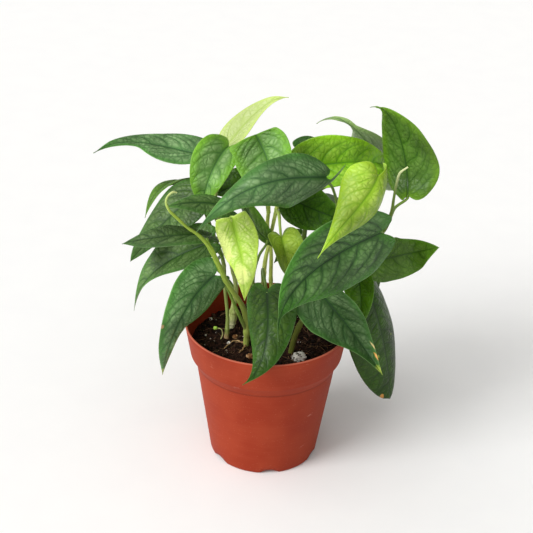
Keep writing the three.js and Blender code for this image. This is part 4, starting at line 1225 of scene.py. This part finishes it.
# The soil's fine surface: how far it is sunk, and the height and the size of its lumps, from coarse to fine
SOIL_SUNK = 0.4
SOIL_LUMPS = [(0.64, 3.6), (0.44, 1.7), (0.24, 0.8)]
GRIT = dict(seed=23, count=46, margin=3, size=(0.3, 0.55, 2), lumps=(0.25, 0.7), lift=0.4)
CRUMBS = dict(
    seed=5, count=620, margin=1.5, size=(0.45, 1.1, 2.5), lumps=(0.35, 0.8), lift=0.25, form=(1.25, 0.9, 0.7),
    turned=True, tint_power=2,
)
FIBRES = dict(
    seed=11, count=330, margin=4, lengths=(3, 8, 2), bow=0.25, lifts=(0.25, 0.8), sizes=(0.11, 0.2, 3),
    tint_power=1.6,
)
FIBRE_POINTS = 4
FIBRE_CLEARANCE = 1


def soil_surface(x, y):
    """The soil's fine surface: clods, then crumbs, lower along the wall."""
    spot = spots(x, y, 0.0)
    crumbs = sum(height * noise(spot, size, seed) for seed, (height, size) in enumerate(SOIL_LUMPS, 1))
    return soil_level(x, y) - SOIL_SUNK + crumbs


def soil():
    """The soil: a rough top, and plain sides against the pot."""
    angle = ring_angles(SOIL_SIDES)
    low = FLOOR_LIFT + WALL + SOIL_EDGE
    rings = []
    for z in (low, *SOIL_SIDE_HEIGHTS):
        at = wall_radius(z) - WALL - SOIL_EDGE
        rings.append(spots(at * np.cos(angle), at * np.sin(angle), float(z)))
    share = np.linspace(1, SOIL_MIDDLE, SOIL_RINGS) ** SOIL_CROWD
    radius = (share * (wall_radius(SOIL_TOP) - WALL - SOIL_EDGE))[:, None]
    x, y = radius * np.cos(angle), radius * np.sin(angle)
    rings = np.concatenate([np.stack(rings), spots(x, y, soil_surface(x, y))])
    middles = [[0, 0, low], [0, 0, soil_surface(0.0, 0.0)]]
    shape = Shape()
    shape.add(np.vstack([rings.reshape(-1, 3), middles]), closed_faces(len(rings), SOIL_SIDES))
    peat = mottled("soil_peat", (16, 9, 7), (64, 41, 31), size=2.4, rough=0.95, depth=0.5)
    shape.piece("soil_mass", [peat], "soil", "soil")


def ball(detail):
    """A round ball's points and triangles."""
    mesh = bmesh.new()
    bmesh.ops.create_icosphere(mesh, subdivisions=detail, radius=1)
    points = np.array([vertex.co[:] for vertex in mesh.verts])
    faces = np.array([[vertex.index for vertex in face.verts] for face in mesh.faces])
    mesh.free()
    return points, faces


def scatter(random, count, margin):
    """Random places on the soil, as x and y."""
    reach = wall_radius(SOIL_TOP) - WALL - margin
    radius = reach * np.sqrt(random.random(count))
    angle = TURN * random.random(count)
    return radius * np.cos(angle), radius * np.sin(angle)


def random_turn(random):
    matrix, _ = np.linalg.qr(random.normal(size=(3, 3)))
    return matrix * np.sign(np.linalg.det(matrix))


def drawn(random, least, more, rarity):
    """A random size from least to least + more. The higher rarity is, the fewer are large."""
    return least + more * random.random() ** rarity


def grains(name, skin, slot, seed, count, margin, size, lumps, lift, form=1, turned=False, tint_power=1):
    """Loose grains on the soil. lumps: their height and size. lift: the share of a grain's radius that its
    middle is above the soil."""
    random = np.random.default_rng(seed)
    shape, (points, faces) = Shape(), ball(2)
    lump_height, lump_size = lumps
    for x, y in zip(*scatter(random, count, margin)):
        radius = drawn(random, *size)
        uneven = 1 + lump_height * noise(points, lump_size, int(random.integers(1 << 20)))[:, None]
        grain = points * uneven * radius * np.array(form)
        if turned:
            grain = grain @ random_turn(random)
        tint = np.full((len(points), 3), random.random() ** tint_power)
        shape.add(grain + [x, y, soil_surface(x, y) + radius * lift], [faces], tint=tint)
    shape.piece(name, [skin], slot)


def fibres(seed, count, margin, lengths, bow, lifts, sizes, tint_power):
    """Fibres and bits of root that lie on the soil every way."""
    random = np.random.default_rng(seed)
    shape = Shape()
    steps = np.linspace(-0.5, 0.5, FIBRE_POINTS)[:, None]
    inside = wall_radius(SOIL_TOP) - WALL - FIBRE_CLEARANCE
    for x, y in zip(*scatter(random, count, margin)):
        length = drawn(random, *lengths)
        heading = TURN * random.random()
        bowed = random.normal() * bow
        forward = np.array([math.cos(heading), math.sin(heading)])
        sideways = np.array([-forward[1], forward[0]])
        flat = np.array([x, y]) + length * (steps * forward + bowed * steps**2 * sideways)
        flat *= np.minimum(1, inside / np.maximum(1, np.hypot(*flat.T)))[:, None]
        lift = lifts[0] + lifts[1] * random.random(FIBRE_POINTS)
        curve = catmull(np.column_stack([flat, soil_surface(flat[:, 0], flat[:, 1]) + lift]))
        thick = drawn(random, *sizes)
        points, faces, _ = tube(curve, lambda t, angle: thick * tapered(t, 1, 0.5), steps=7, sides=5)
        tint = np.full((len(points), 3), random.random() ** tint_power)
        shape.add(points, faces, tint=tint)
    shape.piece("soil_fibres", [tinted("fibre_root", (44, 30, 20), (176, 136, 98))], "soil")


# A chip's fine surface over the solid model's lumps
CHIP_PITS = dict(seed=40, size=1.3, ramp=(-0.15, 0.5), height=0.1, sunk=0.12)
CHIP_GRAIN = dict(seed=60, size=0.5, height=0.03)


def chips(skins):
    """The larger bits of perlite and bark, pitted and cracked."""
    points, faces = ball(5)
    x, y, z = points.T
    for number, chip in enumerate(CHIPS):
        radius = chip["radius"]
        wave = np.sin(4 * x + 3 * y + 7 * radius) * np.cos(3 * z + 2 * x)
        pits = noise(points * radius, CHIP_PITS["size"], CHIP_PITS["seed"] + number)
        pits = smooth(pits, *CHIP_PITS["ramp"])
        fine = noise(points * radius, CHIP_GRAIN["size"], CHIP_GRAIN["seed"] + number)
        lumps = 1 + CHIP_LUMPS * wave + CHIP_PITS["height"] * pits - CHIP_PITS["sunk"]
        lumps = lumps + CHIP_GRAIN["height"] * fine
        place = points * lumps[:, None] * radius * CHIP_SHAPE
        tint = np.repeat(pits[:, None], 3, axis=1)
        shape = Shape()
        shape.add(place + on_soil(chip["at"], radius * CHIP_LIFT), [faces], tint=tint)
        shape.piece(f"bit_{chip['name']}", [skins[chip["look"]]], chip["look"], chip["name"])


SEEDLING_SIZES = (1, 0.75)
SEEDLING_CREASE = dict(depth=0.18, width=0.25, rise=(-0.2, 0.8))
SEEDLING_HEAD_SHAPE = np.array([1.1, 0.95, 1.05])


def seedling():
    """A thin stalk with a curled green head."""
    path = [seen(point) for point in SEEDLING["path"]]
    buried = [path[0][0], path[0][1], SOIL_TOP - STEM_DEPTH / 3]
    curve = catmull([buried, *path])
    shape = Shape()

    def radius(t, angle):
        return SEEDLING["radius"] * tapered(t, *SEEDLING_SIZES)

    points, faces, along = tube(curve, radius, steps=40, sides=10)
    shape.add(points, faces, 0, along=along)
    points, faces = ball(3)
    x, y, z = points.T
    crease = SEEDLING_CREASE["depth"] * hump(x, SEEDLING_CREASE["width"])
    crease = 1 - crease * smooth(z, *SEEDLING_CREASE["rise"])
    head = points * crease[:, None] * SEEDLING["head"] * SEEDLING_HEAD_SHAPE
    along = np.column_stack([np.full(len(points), 0.9), 0.5 + 0.2 * x, 3 * z])
    shape.add(head + curve(np.array([1.0]))[0], [faces], 1, along=along)
    stalk = stem_material("seedling_stalk", **STEM_LOOKS["seedling"])
    bud = stem_material("seedling_bud", **STEM_LOOKS["bud"])
    shape.piece("seedling_shoot", [stalk, bud], "stem", "seedling")


# Pot. WALL_RING: how high a ring of the wall's faces may be. CORNER_SHARE: how much of an edge one rounded
# corner may take. DRAIN_SURROUND: how far round a drain hole the floor has its own rings of faces, by radii.
POT_TURNS = 240
WALL_RING = 4
WALL_SOFTENING = 0.6
CORNER_SHARE = 0.45
DRAIN_SURROUND = 1.6
DRAIN_TOOL = dict(length=20, segments=40)
FOOT_ROUND = 0.3
FOOT_CORNER = 0.4
FLOOR_CLEARANCE = 1
BEVEL_BEND = 0.3
# The foot ring's points are those from its inside to this far outside, with some slack for rounding
FOOT_SLACK = 0.01
FOOT_OUTSIDE = 0.8
POT_DENTS = dict(depth=0.12, size=60, seed=3)


def arc(centre_r, centre_z, radius, first, last, count):
    """Points of a round corner in the pot's section, from angle first to last in degrees."""
    angles = np.radians(np.linspace(first, last, count))
    return [(centre_r + radius * math.cos(a), centre_z + radius * math.sin(a)) for a in angles]


def softened(profile, radius, count=4):
    """A section with each of its corners rounded."""
    made = [profile[0]]
    for before, corner, after in zip(profile, profile[1:], profile[2:]):
        before, corner, after = np.array(before), np.array(corner), np.array(after)
        back, on = before - corner, after - corner
        cut = min(radius, CORNER_SHARE * np.linalg.norm(back), CORNER_SHARE * np.linalg.norm(on))
        start, end = corner + unit(back) * cut, corner + unit(on) * cut
        for t in np.linspace(0, 1, count):
            made.append(tuple((1 - t) ** 2 * start + 2 * t * (1 - t) * corner + t**2 * end))
    return [*made, profile[-1]]


def with_rings(section, gap):
    """A section with extra points, so that none is further than gap from the next."""
    made = []
    for start, end in zip(section, section[1:]):
        count = max(1, math.ceil(math.dist(start, end) / gap))
        made += [tuple(np.array(start) + (np.array(end) - start) * k / count) for k in range(count)]
    return [*made, section[-1]]


def pot_section():
    """The pot's section, from the middle of its foot round to the middle of its floor."""
    wall = with_rings(softened(WALL_OUTSIDE, WALL_SOFTENING), WALL_RING)
    floor = FLOOR_LIFT + WALL
    inside = [(radius - WALL, z) for radius, z in reversed(wall) if z > floor + FLOOR_CLEARANCE]
    foot_inside = FOOT_RADIUS - FOOT_WIDTH
    corner = wall_radius(floor) - WALL
    drain_rings = [DRAIN["circle"] + side * DRAIN["radius"] * DRAIN_SURROUND for side in (-1, 1)]
    return [
        (PAD_RADIUS - FOOT_ROUND, 0),
        (PAD_RADIUS, FOOT_ROUND),
        (PAD_RADIUS, FLOOR_LIFT),
        *[(radius, FLOOR_LIFT) for radius in drain_rings],
        (foot_inside - FOOT_CORNER, FLOOR_LIFT),
        (foot_inside, FLOOR_LIFT - FOOT_CORNER),
        (foot_inside, FOOT_ROUND),
        (foot_inside + FOOT_ROUND, 0),
        (FOOT_RADIUS - FOOT_BEVEL, 0),
        (FOOT_RADIUS - FOOT_BEVEL * BEVEL_BEND, FOOT_BEVEL * BEVEL_BEND),
        *wall[:-1],
        *arc(RIM_RADIUS - WALL / 2, POT_HEIGHT - WALL / 2, WALL / 2, 0, 180, 9),
        *inside[1:],
        (corner, floor + WALL_SOFTENING),
        (corner - WALL_SOFTENING, floor),
        *[(radius, floor) for radius in reversed(drain_rings)],
    ]


def pot():
    """The pot: a turned section with drain notches pressed up into its foot ring."""
    section = np.array(pot_section())
    angle = ring_angles(POT_TURNS)
    step = 360 / NOTCH["count"]
    offset = (np.degrees(angle) - NOTCH["first_angle"] + step / 2) % step - step / 2
    sideways = np.abs(FOOT_RADIUS * np.radians(offset))
    lift = np.sqrt(np.maximum(0, NOTCH["radius"] ** 2 - sideways**2)) - (NOTCH["radius"] - NOTCH["height"])
    lift = np.maximum(0, lift)
    radius, z = section[:, 0][:, None], section[:, 1][:, None]
    inner, outer = FOOT_RADIUS - FOOT_WIDTH - FOOT_SLACK, FOOT_RADIUS + FOOT_OUTSIDE
    on_ring = (radius > inner) & (radius < outer) & (z < NOTCH["height"])
    height = np.where(on_ring, np.maximum(z, lift * (1 - z / NOTCH["flare"])), z)
    points = spots(radius * np.cos(angle), radius * np.sin(angle), height)
    points[..., 0] += POT_DENTS["depth"] * noise(points, POT_DENTS["size"], POT_DENTS["seed"])
    middles = [[0, 0, 0], [0, 0, FLOOR_LIFT + WALL]]
    shape = Shape()
    shape.add(np.vstack([points.reshape(-1, 3), middles]), closed_faces(len(section), POT_TURNS))
    drill(shape.piece("pot_shell", [pot_material()], "pot", "pot"))


def drill(made):
    """Cuts the round drain holes through the pot's floor."""
    tool = bmesh.new()
    radius = DRAIN["radius"] * MM
    for i in range(DRAIN["count"]):
        angle = math.radians(DRAIN["first_angle"] + i * 360 / DRAIN["count"])
        place = Vector((math.cos(angle), math.sin(angle), 0)) * DRAIN["circle"] * MM
        bmesh.ops.create_cone(
            tool, cap_ends=True, segments=DRAIN_TOOL["segments"], radius1=radius, radius2=radius,
            depth=DRAIN_TOOL["length"] * MM, matrix=Matrix.Translation(place),
        )
    mesh = bpy.data.meshes.new("drain_tool")
    tool.to_mesh(mesh)
    tool.free()
    cutter = placed("drain_tool", mesh)
    cut = made.modifiers.new("drains", "BOOLEAN")
    cut.operation, cut.object, cut.solver = "DIFFERENCE", cutter, "EXACT"
    done = bpy.data.meshes.new_from_object(made.evaluated_get(bpy.context.evaluated_depsgraph_get()))
    made.modifiers.clear()
    old = made.data
    made.data = done
    bpy.data.meshes.remove(old)
    bpy.data.objects.remove(cutter)
    bpy.data.meshes.remove(mesh)


# Stage: a sky that is brighter on the side of the key light, left of the front
SKY = dict(colour=(1, 0.99, 0.97, 1), dark=0.1, bright=1.2, dark_at=-0.3, bright_at=0.9)
KEY = dict(azimuth=55, elevation=35, spread=30, strength=2.0)
FLOOR_REACH = 6
FLOOR_COLOURS = ((244, 244, 244), (248, 248, 247))


def camera():
    """The camera of the reference view."""
    forward = Vector((0, math.cos(ELEVATION), -math.sin(ELEVATION)))
    up = Vector((0, math.sin(ELEVATION), math.cos(ELEVATION)))
    right = Vector((1, 0, 0))
    x_axis = right * math.cos(ROLL) + up * math.sin(ROLL)
    y_axis = up * math.cos(ROLL) - right * math.sin(ROLL)
    turned = Matrix((x_axis, y_axis, -forward)).transposed()
    data = bpy.data.cameras.new("camera")
    data.sensor_width = SENSOR_WIDTH
    data.lens = VIEW["focal"] / FRAME_WIDTH * SENSOR_WIDTH
    made = placed("camera", data)
    made.matrix_world = Matrix.Translation(Vector(EYE * MM)) @ turned.to_4x4()
    bpy.context.scene.camera = made


def stage():
    """A plain pale floor under soft studio light."""
    mesh = bpy.data.meshes.new("floor")
    corners = [(x * FLOOR_REACH, y * FLOOR_REACH, 0) for x, y in ((-1, -1), (1, -1), (1, 1), (-1, 1))]
    mesh.from_pydata(corners, [], [(0, 1, 2, 3)])
    g = material_graph("floor_paper")
    mesh.materials.append(g.finish(g.mix(g.noise(g.place(), size=30), *FLOOR_COLOURS), rough=0.9))
    placed("floor", mesh)
    azimuth, elevation = math.radians(KEY["azimuth"]), math.radians(KEY["elevation"])
    level = math.cos(elevation)
    toward = Vector((-math.sin(azimuth) * level, -math.cos(azimuth) * level, math.sin(elevation)))
    sky = Graph(bpy.data.worlds.new("studio"))
    looking = sky.node("TexCoord", {}, "Generated")
    facing = sky.node("VectorMath", {0: looking, 1: toward}, "Value", operation="DOT_PRODUCT")
    ends = {
        "From Min": SKY["dark_at"], "From Max": SKY["bright_at"],
        "To Min": SKY["dark"], "To Max": SKY["bright"],
    }
    background = sky.nodes["Background"].inputs
    background["Color"].default_value = SKY["colour"]
    sky.put(background["Strength"], sky.node("MapRange", {"Value": facing, **ends}))
    bpy.context.scene.world = sky.owner
    data = bpy.data.lights.new("key", "SUN")
    data.energy, data.angle = KEY["strength"], math.radians(KEY["spread"])
    placed("key", data).rotation_euler = toward.to_track_quat("Z", "Y").to_euler()
    bpy.context.scene.view_settings.view_transform = "Standard"


camera()
stage()
stems = {name: vine_curve(path) for name, path in VINES.items()}
root_skin = mottled("root_skin", (176, 136, 92), (220, 184, 132), size=2, rough=0.7, depth=0.15)
leaves()
for name, path in VINES.items():
    vine(name, path)
soil()
grains("soil_crumbs", tinted("crumb_peat", (16, 11, 8), (96, 68, 52)), "soil", **CRUMBS)
fibres(**FIBRES)
grains("soil_grit", tinted("grain_perlite", (150, 132, 108), (232, 226, 214), rough=0.8), "perlite", **GRIT)
chips({
    "perlite": mottled(
        "perlite_stone", (64, 48, 36), (255, 250, 240), size=2, rough=0.9, depth=0.5, contrast=(0.41, 0.46),
    ),
    "bark": tinted("bark_chip", (150, 102, 62), (240, 192, 140)),
})
seedling()
pot()

bpy.context.view_layer.update()
